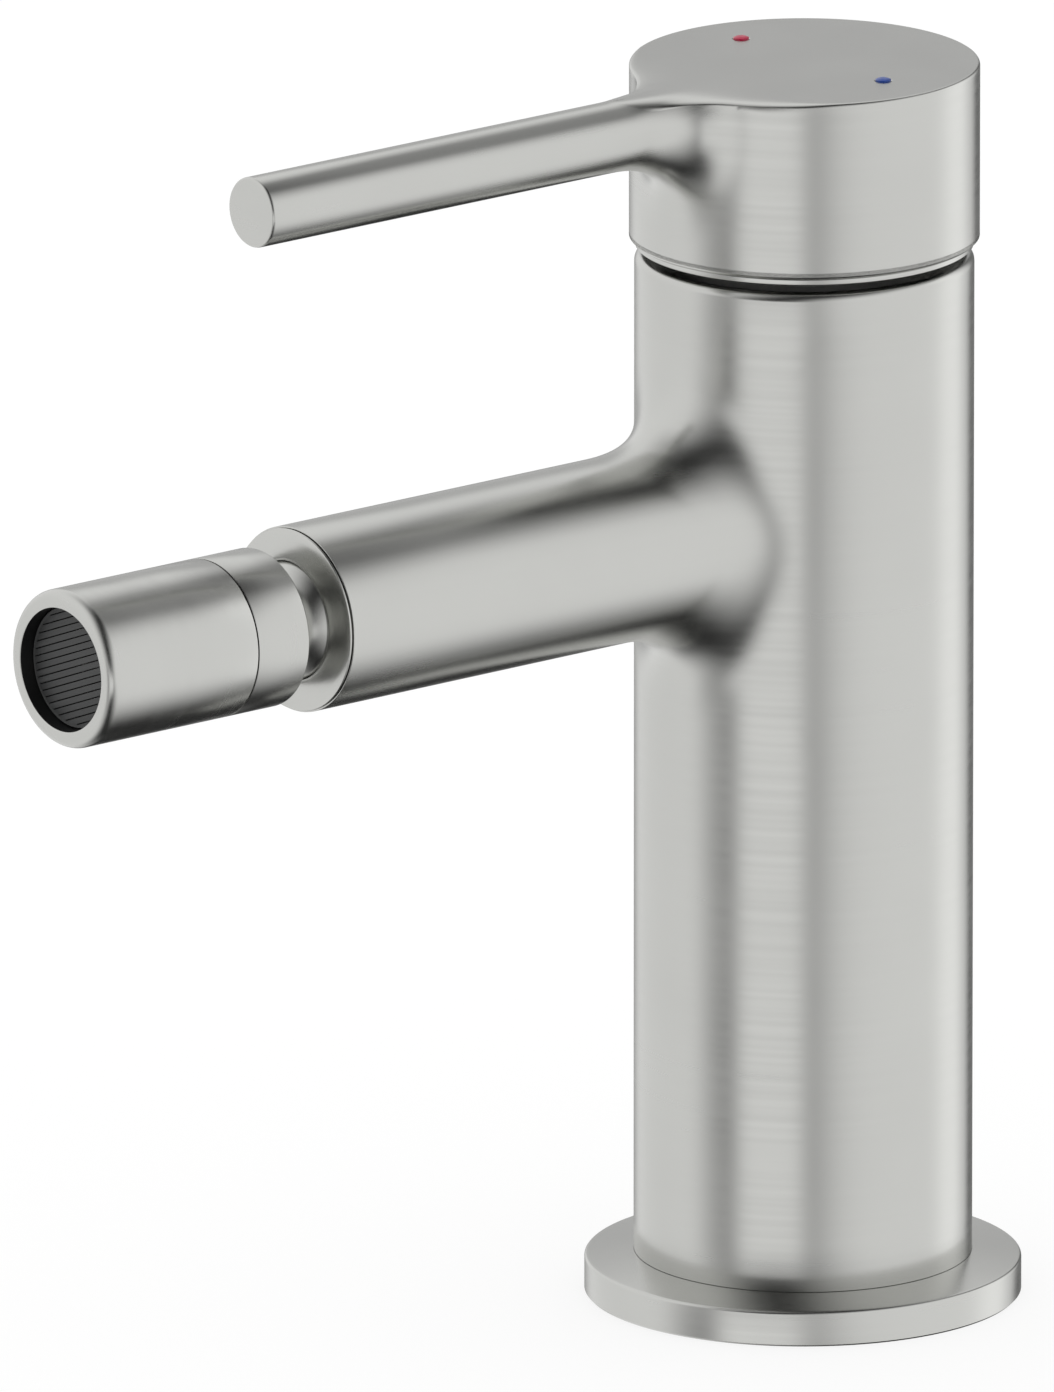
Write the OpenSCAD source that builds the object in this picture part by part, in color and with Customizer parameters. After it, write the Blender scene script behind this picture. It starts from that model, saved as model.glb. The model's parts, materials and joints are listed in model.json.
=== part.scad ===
// Single-lever deck-mounted bidet mixer with a tilting ball-joint nozzle.
// Origin at the column's axis on the deck; the spout and the lever point along -Y, hot is at -X.

/* [Column] */
// Outside diameter of the column
body_d = 45; // [43:0.5:50]
// Height of the column's top edge above the deck
column_top = 142.4; // [141.4:0.2:160]
// Rounding of the column's top shoulder
shoulder_r = 1.2; // [1:0.1:2]
// Wall of the column around the hose cavity
cavity_wall = 3.3; // [2.6:0.1:4]
// Height of the hose cavity's ceiling above the deck
cavity_h = 86; // [60:1:92]

/* [Base flange] */
// Diameter of the base flange
flange_d = 58.1; // [56:0.1:66]
// Height of the flange's rim
flange_h = 4.8; // [4:0.1:8]
// Rise of the flange's top from its rim to the column
flange_rise = 0.85; // [0.35:0.05:2]
// Rounding of the flange's top edge
flange_edge = 0.4; // [0.2:0.1:1]
// Depth of the column's foot in the flange
foot_depth = 3; // [2:0.1:3.4]
// Wall of the column's foot
foot_wall = 1.6; // [1.2:0.1:2]
// Mean diameter of the base seal
seal_d = 51; // [49:0.5:52]
// Width of the base seal
seal_w = 3; // [2:0.1:4]
// Height of the base seal
seal_h = 1.6; // [1:0.1:2.2]

/* [Fixing stud] */
// Core diameter of the M8 stud thread
stud_core_d = 6.8; // [4.2:0.1:7]
// Depth of the stud thread
stud_depth = 15; // [10:0.5:20]
// Distance of the stud behind the column's axis
stud_y = 12.5; // [11.6:0.1:12.8]
// Diameter of the stud boss
boss_d = 10.4; // [10:0.1:11]

/* [Spout] */
// Outside diameter of the spout
spout_d = 24.8; // [23.4:0.1:27]
// Height of the spout's axis above the deck
spout_height = 107.2; // [103:0.2:108.4]
// Distance from the column's axis to the end of the spout
spout_reach = 87.8; // [70:0.2:110]
// Ball radius of the fillet between spout and column
root_fillet = 10; // [6:0.5:12]
// Bore of the spout's water way
spout_bore_d = 16; // [12:0.5:16.5]

/* [Cartridge] */
// Diameter of the cartridge
cartridge_d = 35; // [34:0.2:36]
// Depth of the cartridge chamber below the column's top
chamber_depth = 24.4; // [24:0.1:26]
// Core diameter of the M10 inlet threads
inlet_core_d = 9; // [8:0.1:9.4]
// Depth of the inlet threads
inlet_depth = 10; // [6:0.5:12]
// Distance between the two inlets
inlet_spacing = 16; // [14.6:0.1:17]
// Distance of the inlets behind the column's axis
inlet_y = 3; // [2:0.1:3.4]
// Distance of the outlet in front of the column's axis
outlet_y = 9; // [8.6:0.1:9.8]
// Bore of the water ways in the column
water_way_d = 6.8; // [5:0.1:7]
// Bore of the ports in the cartridge
port_d = 5.6; // [4:0.1:5.8]
// Thickness of the fixed ceramic disc
fixed_disc_t = 2; // [1.6:0.1:2.2]
// Diameter of the moving ceramic disc
moving_disc_d = 24.6; // [23.6:0.1:24.8]
// Width of the square stem
stem_w = 8; // [7:0.1:8.4]
// Diameter of the pivot pin
pin_d = 3; // [2:0.1:4]
// Length of the pivot pin
pin_l = 18; // [14:0.5:19]
// Radius of the domed trim ring about the lever's pivot
dome_r = 20.4; // [19.8:0.1:20.8]

/* [Handle] */
// How far the cap stands out past the column
cap_overhang = 0.7; // [0.5:0.1:1.4]
// Gap between the column's top and the cap's rim
cap_gap = 1.2; // [1:0.1:2]
// Height of the cap
cap_h = 24.7; // [24:0.1:32]
// Thickness of the cap's top
cap_top_t = 3; // [2.4:0.1:4]
// Wall of the cap at its rim
rim_wall = 1.2; // [0.9:0.05:1.3]
// Wall of the cap above its rim
cap_wall = 1.9; // [1.5:0.1:3]
// Rounding of the cap's lower edge
rim_round = 0.85; // [0.3:0.05:0.85]
// Diameter of the lever
lever_d = 9.4; // [7:0.1:12]
// Distance from the column's axis to the lever's tip
lever_reach = 95; // [60:1:130]
// Ball radius of the fillet between lever and cap
lever_fillet = 9; // [3:0.5:10]
// Diameter of the boss that holds the stem
socket_d = 13.6; // [13:0.1:15]
// Thread diameter of the grub screw
grub_d = 5; // [4:0.5:5]
// Length of the grub screw
grub_l = 10; // [6:0.5:12]
// Diameter of the plug over the grub screw
plug_d = 6; // [5.4:0.1:7]
// Diameter of the hot and cold marks
mark_d = 2.1; // [1.5:0.1:4]
// Distance of each mark from the cap's axis
mark_x = 14.5; // [10:0.1:17]
// Distance of the marks behind the cap's axis
mark_y = 1.3; // [0:0.1:3]
// How far the marks stand proud
mark_rise = 0.45; // [0.1:0.05:0.8]

/* [Ball nozzle] */
// Diameter of the ball
ball_d = 18; // [17.4:0.1:18.2]
// Thread diameter of the socket ring
socket_ring_d = 22; // [21.6:0.1:22.6]
// Thickness of the socket ring's lip
lip_t = 1; // [0.8:0.1:1.4]
// How far the socket ring's face falls towards its rim
lip_fall = 0.6; // [0.2:0.1:0.7]
// Distance from the lip's face back to the ball's centre
ball_inset = 4.7; // [4.4:0.1:5]
// Gap between the lip and the collar
nozzle_gap = 5; // [5:0.1:9]
// Outside diameter of the nozzle
nozzle_d = 21.2; // [20:0.1:24]
// Length of the collar
collar_l = 8.7; // [5:0.1:14]
// Length of the sleeve in front of the collar
sleeve_l = 25; // [22:0.1:34]
// Rounding of the nozzle's front edge
mouth_round = 1; // [0.4:0.1:1.4]
// Bore of the nozzle's mouth, for a recessed aerator
mouth_d = 16.5; // [15.5:0.1:17]
// Depth of the aerator's face behind the mouth
mouth_recess = 2; // [1:0.1:3]
// Distance from slot to slot in the aerator's face
slot_pitch = 0.92; // [0.8:0.02:2]
// Width of the slots in the aerator's face
slot_w = 0.4; // [0.2:0.05:0.6]
// Turn of the slots about the nozzle's axis
slot_turn = 21.5; // [0:0.5:90]

/* [Hidden] */
$fn = 96;

// Colours of the finishes
nickel = [0.72, 0.72, 0.70];
brass = [0.80, 0.65, 0.35];
steel = [0.62, 0.63, 0.65];
rubber = [0.08, 0.08, 0.08];
white_plastic = [0.90, 0.90, 0.88];
grey_plastic = [0.35, 0.36, 0.37];
ceramic = [0.95, 0.95, 0.93];

// Clearances: a close fit, a running fit and an overlap that joins two solids
fit = 0.05;
slide = 0.1;
run = 0.3;
join = 0.5;
over = 1;

// Column
body_r = body_d / 2;
cavity_r = body_r - cavity_wall;
foot_z = flange_h + flange_rise;
foot_r = cavity_r + foot_wall;

// Base flange
flange_r = flange_d / 2;

// Fixing stud
boss_gap = 0.4;
boss_z = foot_z + boss_gap;
boss_skin = 1;
web_w = 6;

// Spout
spout_r = spout_d / 2;
bore_start = 7.5;

// Cartridge, from its seat upwards
seat_z = column_top - chamber_depth;
chamber_r = cartridge_d / 2 + slide;
housing_r = cartridge_d / 2 - slide;
housing_wall = 1.95;
housing_bore_r = housing_r - housing_wall;
inlet_x = inlet_spacing / 2;
seal_squeeze = 0.2;
base_z = seat_z + seal_squeeze;
base_t = 1.8;
base_r = housing_bore_r - slide - fit;
port_seal_r = 4.2;
port_seal_hole_r = 3.2;
port_seal_t = 1.2;
peg_r = 1.5;
peg_l = 2;
peg_x = 11;
peg_y = 8;
fixed_z = base_z + base_t;
moving_z = fixed_z + fixed_disc_t;
moving_disc_t = 2.2;
mix_depth = 1.2;
wing_w = 2;
carrier_z = moving_z + moving_disc_t;
carrier_t = 3.2;
rail_x = 7.5;
rail_w = 2;
rail_h = 1.6;
rail_l = 16;
rotor_z = carrier_z + carrier_t + run;
rotor_flange_r = 12.6;
rotor_flange_t = 3.8;
rotor_r = 10.4;
rotor_l = 8;
neck_z = rotor_z + rotor_flange_t;
rotor_top = neck_z + rotor_l;
pivot_rise = 0.5;
pivot_z = neck_z + pivot_rise;
stem_ball_r = 1.7;
stem_ball_arm = 5.9;
stem_neck_r = 1.2;
stem_pocket_r = stem_ball_r + run;
slot_front = stem_w / 2 + run;
stem_swing = 4.3;
slot_back = stem_w / 2 + stem_swing;
housing_ceiling = neck_z + run;
housing_top = rotor_top + run;
housing_neck_wall = 2;
housing_neck_r = rotor_r + housing_neck_wall;
shoulder_wall = 3.2;
nut_z = housing_ceiling + shoulder_wall;
nut_l = 5.5;
thread_step = 0.8;
nut_r = chamber_r + thread_step;
nut_bore_r = housing_neck_r + run;
thread_bore_r = nut_r + slide;
thread_run_out = 0.6;
thread_z = nut_z - thread_run_out;
notch_w = 4;
notch_h = 2;
groove_drop = 4.1;
groove_z = rotor_top - groove_drop;
groove_h = 1.2;
groove_depth = 0.85;
o_ring_r = 0.48;

// Domed trim ring
dome_z = nut_z + nut_l;
dome_rise = 2.2;
dome_top = column_top + dome_rise;
dome_bore_r = 14.6;
dome_skirt_r = thread_bore_r - 2 * slide;
dome_skirt_top = column_top - 2 * slide;

// Handle
cap_r = body_r + cap_overhang;
cap_z = column_top + cap_gap;
cap_top = cap_z + cap_h;
ceiling_z = cap_top - cap_top_t;
rim_r = cap_r - rim_wall;
rim_h = 3.4;
cap_bore_r = cap_r - cap_wall;
rim_round_h = 1.4;
lever_r = lever_d / 2;
lever_step = 0.05;
lever_z = cap_top - lever_step - lever_r;
tip_round = 0.4;
socket_r = socket_d / 2;
socket_l = 14.3;
socket_depth = 11.1;
stem_top = ceiling_z - socket_l + socket_depth - slide;
grub_drop = 8.3;
grub_z = ceiling_z - grub_drop;
rib_w = 8;
rib_l = 13.3;
grub_y = stem_w / 2 + slide;
hex_af = grub_d / 2;
hex_depth = 2.5;
plug_t = 2.8;
mark_depth = 1.5;

// Ball nozzle, as distances from the column's axis
ball_r = ball_d / 2;
ball_gap = 0.1;
lip_s = spout_reach + lip_t;
ball_s = lip_s - ball_inset;
seal_reach = 8.6;
ball_seal_s = ball_s - seal_reach;
ball_seal_t = 3.9;
ring_s = ball_seal_s + ball_seal_t;
ring_thread_r = socket_ring_d / 2;
ring_wall = 1;
ring_bore_r = ring_thread_r - ring_wall;
seat_r = ring_bore_r - slide;
lip_step = 0.2;
lip_r = spout_r - lip_step;
lip_root = 0.1;
lip_mouth = 0.75;
lip_throat = 1.05;
lip_back = 0.6;
ball_back = 7;
nozzle_r = nozzle_d / 2;
ball_neck_r = 5.5;
ball_bore_r = 3.6;
spigot_r = 8.7;
spigot_l = 6.4;
spigot_bore_r = 6.2;
seam = 0.1;
collar_s = lip_s + nozzle_gap;
seam_s = collar_s + collar_l;
mouth_s = seam_s + sleeve_l;
edge_break = 0.3;

// Aerator
mouth_r = mouth_d / 2;
sleeve_seal_t = 1.1;
shoulder_t = 1.1;
shoulder_bore_r = 6.5;
washer_lap = 1;
shoulder_s = seam_s + spigot_l + sleeve_seal_t;
washer_s = shoulder_s + shoulder_t;
washer_t = 1.2;
aerator_s = washer_s + washer_t;
aerator_r = mouth_r - slide;
aerator_wall = 0.95;
insert_r = aerator_r - aerator_wall - slide;
screen_t = 1;
screen_s = mouth_s - mouth_recess - screen_t;
slot_field_r = insert_r;
filter_s = aerator_s + 0.4;
filter_t = 1.2;
filter_hole_r = 0.6;
filter_holes = 12;
filter_rim = 2;
insert_s = aerator_s + 4;
insert_t = 3;
insert_hole_r = 0.9;
insert_holes = 8;
insert_rim = 2.5;

// Surface of a rolling-ball fillet
fillet_turns = 48;
fillet_steps = 8;
fillet_sink = 0.05;
fillet_core = 0.8;
fillet_back = 2;

// Turns +Z into the direction in which the spout points
module along(height) {
    translate([0, 0, height]) rotate([90, 0, 0]) children();
}

module tube(outer, inner, length) {
    difference() {
        cylinder(r = outer, h = length);
        translate([0, 0, -over]) cylinder(r = inner, h = length + 2 * over);
    }
}

// Quarter round about a centre, from one angle to another, as points of a profile
function arc(cx, cy, r, from, to, steps) = [
    for (i = [0 : steps]) let (a = from + (to - from) * i / steps) [cx + r * cos(a), cy + r * sin(a)]
];

// Centre of the ball that touches an upright stem and a level branch at the angle t round the branch
function ball_centre(t, stem, branch, ball) =
    let (side = (branch + ball) * cos(t), rise = (branch + ball) * sin(t))
    [side, rise, sqrt(pow(stem + ball, 2) - side * side)];

// One profile of the fillet: the ball's arc from the branch to the stem, and a point inside both
function fillet_profile(t, stem, branch, ball) =
    let (
        c = ball_centre(t, stem, branch, ball),
        to_branch = [-cos(t), -sin(t), 0],
        to_stem = [-c[0], 0, -c[2]] / (stem + ball),
        w = acos(to_branch * to_stem),
        inner = fillet_core * branch,
        depth = sqrt(stem * stem - branch * branch) - fillet_back
    )
    concat(
        [for (k = [0 : fillet_steps])
            let (a = w * k / fillet_steps)
            c + (ball + fillet_sink) * (sin(w - a) * to_branch + sin(a) * to_stem) / sin(w)],
        [[inner * cos(t), inner * sin(t), depth]]
    );

// Closed ring of such profiles round a branch that runs along +Z
module root_fillet(stem, branch, ball) {
    count = fillet_steps + 2;
    points = [
        for (i = [0 : fillet_turns - 1])
            each fillet_profile(360 * i / fillet_turns, stem, branch, ball)
    ];
    faces = [
        for (i = [0 : fillet_turns - 1], j = [0 : count - 1])
            let (
                n = (i + 1) % fillet_turns,
                m = (j + 1) % count,
                a = i * count + j,
                b = n * count + j,
                c = n * count + m,
                d = i * count + m
            )
            each [[a, b, c], [a, c, d]]
    ];
    polyhedron(points = points, faces = faces, convexity = 6);
}

// Places a child at each of the two inlets
module at_inlets() {
    for (side = [-1, 1]) translate([side * inlet_x, inlet_y, 0]) children();
}

// Places a child at the two inlets and at the outlet
module at_ports() {
    at_inlets() children();
    translate([0, -outlet_y, 0]) children();
}

module at_pegs() {
    for (side = [-1, 1]) translate([side * peg_x, -peg_y, 0]) children();
}

module column_outside() {
    rotate_extrude() polygon(concat(
        [[0, foot_z - foot_depth], [foot_r, foot_z - foot_depth], [foot_r, foot_z], [body_r, foot_z]],
        arc(body_r - shoulder_r, column_top - shoulder_r, shoulder_r, 0, 90, 5),
        [[0, column_top]]
    ));
}

module stud_boss() {
    length = stud_depth + boss_skin;
    difference() {
        union() {
            translate([0, stud_y, boss_z]) cylinder(r = boss_d / 2, h = length);
            translate([-web_w / 2, stud_y, boss_z]) cube([web_w, cavity_r + over - stud_y, length]);
        }
        translate([0, stud_y, boss_z - over]) cylinder(r = stud_core_d / 2, h = stud_depth + over);
    }
}

module body() {
    color(nickel) {
        difference() {
            union() {
                column_outside();
                along(spout_height) cylinder(r = spout_r, h = spout_reach);
                along(spout_height) root_fillet(body_r, spout_r, root_fillet);
            }
            cylinder(r = cavity_r, h = cavity_h);
            translate([0, 0, seat_z]) cylinder(r = chamber_r, h = chamber_depth + over);
            translate([0, 0, thread_z]) cylinder(r = thread_bore_r, h = chamber_depth);
            at_inlets() translate([0, 0, cavity_h - over])
                cylinder(r = inlet_core_d / 2, h = inlet_depth + over);
            at_inlets() translate([0, 0, cavity_h])
                cylinder(r = water_way_d / 2, h = seat_z - cavity_h + over);
            translate([0, -outlet_y, spout_height])
                cylinder(r = water_way_d / 2, h = seat_z - spout_height + over);
            at_pegs() translate([0, 0, seat_z - peg_l - slide])
                cylinder(r = peg_r + slide, h = peg_l + over);
            along(spout_height) translate([0, 0, bore_start])
                cylinder(r = spout_bore_d / 2, h = spout_reach);
            along(spout_height) translate([0, 0, ball_seal_s]) cylinder(r = ring_thread_r, h = spout_reach);
        }
        stud_boss();
    }
}

module base_flange() {
    color(nickel) difference() {
        rotate_extrude() polygon(concat(
            [[0, 0], [flange_r, 0]],
            arc(flange_r - flange_edge, flange_h - flange_edge, flange_edge, 0, 90, 3),
            [[body_r, foot_z], [0, foot_z]]
        ));
        translate([0, 0, -over]) cylinder(r = cavity_r, h = foot_z + 2 * over);
        translate([0, 0, foot_z - foot_depth - slide]) cylinder(r = foot_r + slide, h = foot_z);
        translate([0, 0, -over])
            tube(seal_d / 2 + seal_w / 2 + fit, seal_d / 2 - seal_w / 2 - fit, seal_h + over);
    }
}

module base_seal() {
    color(rubber) tube(seal_d / 2 + seal_w / 2, seal_d / 2 - seal_w / 2, seal_h);
}

module cartridge_housing() {
    color(grey_plastic) rotate_extrude() polygon([
        [housing_bore_r, seat_z], [housing_r, seat_z], [housing_r, nut_z], [housing_neck_r, nut_z],
        [housing_neck_r, housing_top], [rotor_r + 2 * slide, housing_top],
        [rotor_r + 2 * slide, housing_ceiling], [housing_bore_r, housing_ceiling]
    ]);
}

module cartridge_base() {
    color(white_plastic) difference() {
        union() {
            translate([0, 0, base_z]) cylinder(r = base_r, h = base_t);
            at_pegs() translate([0, 0, seat_z - peg_l]) cylinder(r = peg_r, h = peg_l + over);
        }
        at_ports() translate([0, 0, seat_z - over]) cylinder(r = port_d / 2, h = base_t + 3 * over);
        at_ports() translate([0, 0, base_z - over])
            cylinder(r = port_seal_r + slide, h = port_seal_t - seal_squeeze + over);
    }
}

module port_seals() {
    color(rubber) at_ports() translate([0, 0, seat_z]) tube(port_seal_r, port_seal_hole_r, port_seal_t);
}

module fixed_disc() {
    color(ceramic) difference() {
        translate([0, 0, fixed_z]) cylinder(r = base_r, h = fixed_disc_t);
        at_ports() translate([0, 0, fixed_z - over]) cylinder(r = port_d / 2, h = fixed_disc_t + 2 * over);
    }
}

// The recess joins the outlet to both inlets once the disc has moved towards the spout
module moving_disc() {
    wing_y = inlet_y + port_d / 2 + 2 * slide;
    color(ceramic) difference() {
        translate([0, 0, moving_z]) cylinder(r = moving_disc_d / 2, h = moving_disc_t);
        translate([-inlet_x, wing_y, moving_z - over]) cube([inlet_spacing, wing_w, mix_depth + over]);
        translate([-port_d / 2, -outlet_y, moving_z - over])
            cube([port_d, outlet_y + wing_y + wing_w, mix_depth + over]);
    }
}

module disc_carrier() {
    color(white_plastic) difference() {
        union() {
            translate([0, 0, carrier_z]) cylinder(r = moving_disc_d / 2, h = carrier_t);
            for (side = [-1, 1]) translate([side * rail_x - rail_w / 2, -rail_l / 2, carrier_z])
                cube([rail_w, rail_l, carrier_t + rail_h]);
        }
        translate([0, 0, carrier_z - over]) cylinder(r = stem_pocket_r, h = carrier_t + 2 * over);
    }
}

module lever_holder() {
    color(white_plastic) difference() {
        union() {
            translate([0, 0, rotor_z]) cylinder(r = rotor_flange_r, h = rotor_flange_t);
            translate([0, 0, rotor_z]) cylinder(r = rotor_r, h = rotor_flange_t + rotor_l);
        }
        translate([-stem_w / 2 - slide, -slot_front, rotor_z - over])
            cube([stem_w + 2 * slide, slot_front + slot_back, rotor_top - rotor_z + 2 * over]);
        for (side = [-1, 1])
            translate([side * rail_x - rail_w / 2 - run, -rotor_flange_r - over, rotor_z - over])
                cube([rail_w + 2 * run, 2 * (rotor_flange_r + over), rail_h + over]);
        translate([-rotor_flange_r - over, 0, pivot_z]) rotate([0, 90, 0])
            cylinder(r = pin_d / 2 + fit, h = 2 * (rotor_flange_r + over));
        translate([0, 0, groove_z - groove_h / 2]) tube(rotor_r + over, rotor_r - groove_depth, groove_h);
    }
}

module rotor_seal() {
    color(rubber) rotate_extrude() translate([rotor_r - groove_depth + o_ring_r + fit / 2, groove_z])
        circle(r = o_ring_r);
}

module pivot_pin() {
    color(steel) translate([-pin_l / 2, 0, pivot_z]) rotate([0, 90, 0]) cylinder(r = pin_d / 2, h = pin_l);
}

module cartridge_stem() {
    color(steel) difference() {
        union() {
            translate([-stem_w / 2, -stem_w / 2, pivot_z]) cube([stem_w, stem_w, stem_top - pivot_z]);
            translate([-stem_w / 2, 0, pivot_z]) rotate([0, 90, 0]) cylinder(r = stem_w / 2, h = stem_w);
            translate([0, 0, pivot_z - stem_ball_arm])
                cylinder(r = stem_neck_r, h = stem_ball_arm - stem_w / 4);
            translate([0, 0, pivot_z - stem_ball_arm]) sphere(r = stem_ball_r);
        }
        translate([-stem_w, 0, pivot_z]) rotate([0, 90, 0]) cylinder(r = pin_d / 2 + fit, h = 2 * stem_w);
    }
}

module retaining_nut() {
    color(brass) difference() {
        translate([0, 0, nut_z]) tube(nut_r, nut_bore_r, nut_l);
        for (turn = [45 : 90 : 315]) rotate([0, 0, turn])
            translate([nut_r - notch_h, -notch_w / 2, nut_z + nut_l - notch_h])
                cube([notch_h + over, notch_w, notch_h + over]);
    }
}

module dome_ring() {
    low = asin((dome_skirt_top - pivot_z) / dome_r);
    high = asin((dome_top - pivot_z) / dome_r);
    color(steel) rotate_extrude() polygon(concat(
        [[dome_bore_r, dome_z], [dome_skirt_r, dome_z], [dome_skirt_r, dome_skirt_top]],
        arc(0, pivot_z, dome_r, low, high, 4),
        [[dome_bore_r, dome_top]]
    ));
}

module cap_outside() {
    rotate_extrude() polygon(concat(
        [[0, cap_z], [cap_r - rim_round, cap_z]],
        [for (a = [30 : 30 : 90]) [cap_r - rim_round * (1 - sin(a)), cap_z + rim_round_h * (1 - cos(a))]],
        [[cap_r, cap_top], [0, cap_top]]
    ));
}

module cap_inside() {
    rotate_extrude() polygon([
        [0, cap_z - over], [rim_r, cap_z - over], [rim_r, cap_z + rim_h],
        [cap_bore_r, cap_z + rim_h + rim_r - cap_bore_r], [cap_bore_r, ceiling_z], [0, ceiling_z]
    ]);
}

module lever_bar() {
    along(lever_z) rotate_extrude() polygon(concat(
        [[0, 0], [lever_r, 0]],
        arc(lever_r - tip_round, lever_reach - tip_round, tip_round, 0, 90, 3),
        [[0, lever_reach]]
    ));
}

// The fillet runs out into the cap's flat top
module lever_root() {
    reach = cap_r + lever_fillet + over;
    intersection() {
        along(lever_z) root_fillet(cap_r, lever_r, lever_fillet);
        translate([-reach, -reach, cap_z]) cube([2 * reach, reach, cap_h]);
    }
}

// Axis of the grub screw, from the stem towards the back of the cap
module along_grub(distance) {
    translate([0, distance, grub_z]) rotate([-90, 0, 0]) children();
}

module at_mark(side) {
    translate([side * mark_x, mark_y, cap_top - mark_depth]) children();
}

module handle() {
    color(nickel) difference() {
        union() {
            difference() {
                union() {
                    cap_outside();
                    lever_bar();
                    lever_root();
                }
                cap_inside();
            }
            translate([0, 0, ceiling_z - socket_l]) cylinder(r = socket_r, h = socket_l + join);
            translate([-rib_w / 2, 0, ceiling_z - rib_l]) cube([rib_w, cap_bore_r + join, rib_l + join]);
        }
        translate([-stem_w / 2 - fit, -stem_w / 2 - fit, ceiling_z - socket_l - over])
            cube([stem_w + 2 * fit, stem_w + 2 * fit, socket_depth + over]);
        along_grub(0) cylinder(r = grub_d / 2, h = cap_r + over);
        along_grub(cap_r - plug_t) cylinder(r = plug_d / 2 + fit, h = plug_t + over);
        for (side = [-1, 1]) at_mark(side) cylinder(r = mark_d / 2 + fit, h = mark_depth + over);
    }
}

module grub_screw() {
    color(steel) difference() {
        along_grub(grub_y) cylinder(r = grub_d / 2 - fit, h = grub_l);
        along_grub(grub_y + grub_l - hex_depth)
            cylinder(r = hex_af / sqrt(3), h = hex_depth + over, $fn = 6);
    }
}

module screw_plug() {
    color(nickel) intersection() {
        along_grub(cap_r - plug_t) cylinder(r = plug_d / 2, h = plug_t + over);
        translate([0, 0, grub_z - plug_d]) cylinder(r = cap_r, h = 2 * plug_d);
    }
}

// Small round inlay with a domed face
module mark(side) {
    crown_r = (pow(mark_d / 2, 2) + pow(mark_rise, 2)) / (2 * mark_rise);
    at_mark(side) {
        cylinder(r = mark_d / 2, h = mark_depth);
        intersection() {
            cylinder(r = mark_d / 2, h = mark_depth + mark_rise + over);
            translate([0, 0, mark_depth + mark_rise - crown_r]) sphere(r = crown_r);
        }
    }
}

module hot_mark() {
    color("firebrick") mark(-1);
}

module cold_mark() {
    color("royalblue") mark(1);
}

module socket_ring() {
    color(nickel) along(spout_height) rotate_extrude() polygon([
        [ring_bore_r, ring_s], [ring_thread_r - fit, ring_s], [ring_thread_r - fit, spout_reach],
        [lip_r, spout_reach], [lip_r, lip_s - lip_fall],
        [ball_r - lip_mouth, lip_s], [ball_r - lip_throat, lip_s - edge_break],
        [ball_r - lip_back, spout_reach - lip_root], [ring_bore_r, spout_reach - lip_root]
    ]);
}

module ball_seal() {
    color(rubber) along(spout_height) difference() {
        translate([0, 0, ball_seal_s]) tube(ring_thread_r - slide, ball_neck_r + run, ball_seal_t);
        translate([0, 0, ball_s]) sphere(r = ball_r + ball_gap);
    }
}

module ball_seat_ring() {
    color(white_plastic) along(spout_height) difference() {
        translate([0, 0, ring_s + slide])
            cylinder(r = seat_r, h = spout_reach - lip_root - ring_s - 2 * slide);
        translate([0, 0, ball_s]) sphere(r = ball_r + ball_gap);
    }
}

module swivel_ball() {
    color(nickel) along(spout_height) difference() {
        union() {
            intersection() {
                translate([0, 0, ball_s]) sphere(r = ball_r);
                translate([0, 0, ball_s - ball_back]) cylinder(r = ball_d, h = ball_d);
            }
            translate([0, 0, ball_s]) cylinder(r = ball_neck_r, h = collar_s - ball_s + over);
            rotate_extrude() polygon([
                [0, collar_s], [nozzle_r - edge_break, collar_s], [nozzle_r, collar_s + edge_break],
                [nozzle_r, seam_s - seam - edge_break], [nozzle_r - edge_break, seam_s - seam],
                [0, seam_s - seam]
            ]);
            translate([0, 0, collar_s + over])
                cylinder(r = spigot_r, h = seam_s - collar_s - over + spigot_l);
        }
        translate([0, 0, ball_s - ball_d]) cylinder(r = ball_bore_r, h = ball_d + mouth_s);
        translate([0, 0, collar_s + collar_l / 2]) cylinder(r = spigot_bore_r, h = mouth_s);
    }
}

module sleeve_seal() {
    color(rubber) along(spout_height) translate([0, 0, seam_s + spigot_l])
        tube(spigot_r, shoulder_bore_r + slide, sleeve_seal_t);
}

module aerator_housing() {
    color(nickel) along(spout_height) difference() {
        rotate_extrude() polygon(concat(
            [[0, seam_s + seam], [nozzle_r - edge_break, seam_s + seam]],
            [[nozzle_r, seam_s + seam + edge_break]],
            arc(nozzle_r - mouth_round, mouth_s - mouth_round, mouth_round, 0, 90, 4),
            [[0, mouth_s]]
        ));
        cylinder(r = spigot_r + fit, h = shoulder_s);
        cylinder(r = shoulder_bore_r, h = mouth_s);
        translate([0, 0, washer_s]) cylinder(r = mouth_r, h = sleeve_l);
    }
}

module aerator_washer() {
    color(rubber) along(spout_height) translate([0, 0, washer_s])
        tube(aerator_r, shoulder_bore_r - washer_lap, washer_t);
}

module aerator_body() {
    color(grey_plastic) along(spout_height) translate([0, 0, aerator_s])
        tube(aerator_r, aerator_r - aerator_wall, screen_s - aerator_s);
}

// Disc inside the aerator with a ring of round holes
module flow_disc(start, thickness, hole_r, holes, ring_r) {
    translate([0, 0, start]) difference() {
        cylinder(r = insert_r, h = thickness);
        for (i = [0 : holes - 1]) rotate([0, 0, 360 * i / holes])
            translate([ring_r, 0, -over]) cylinder(r = hole_r, h = thickness + 2 * over);
    }
}

module aerator_filter() {
    color(grey_plastic) along(spout_height)
        flow_disc(filter_s, filter_t, filter_hole_r, filter_holes, insert_r - filter_rim);
}

module aerator_insert() {
    color(white_plastic) along(spout_height)
        flow_disc(insert_s, insert_t, insert_hole_r, insert_holes, insert_r - insert_rim);
}

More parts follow.
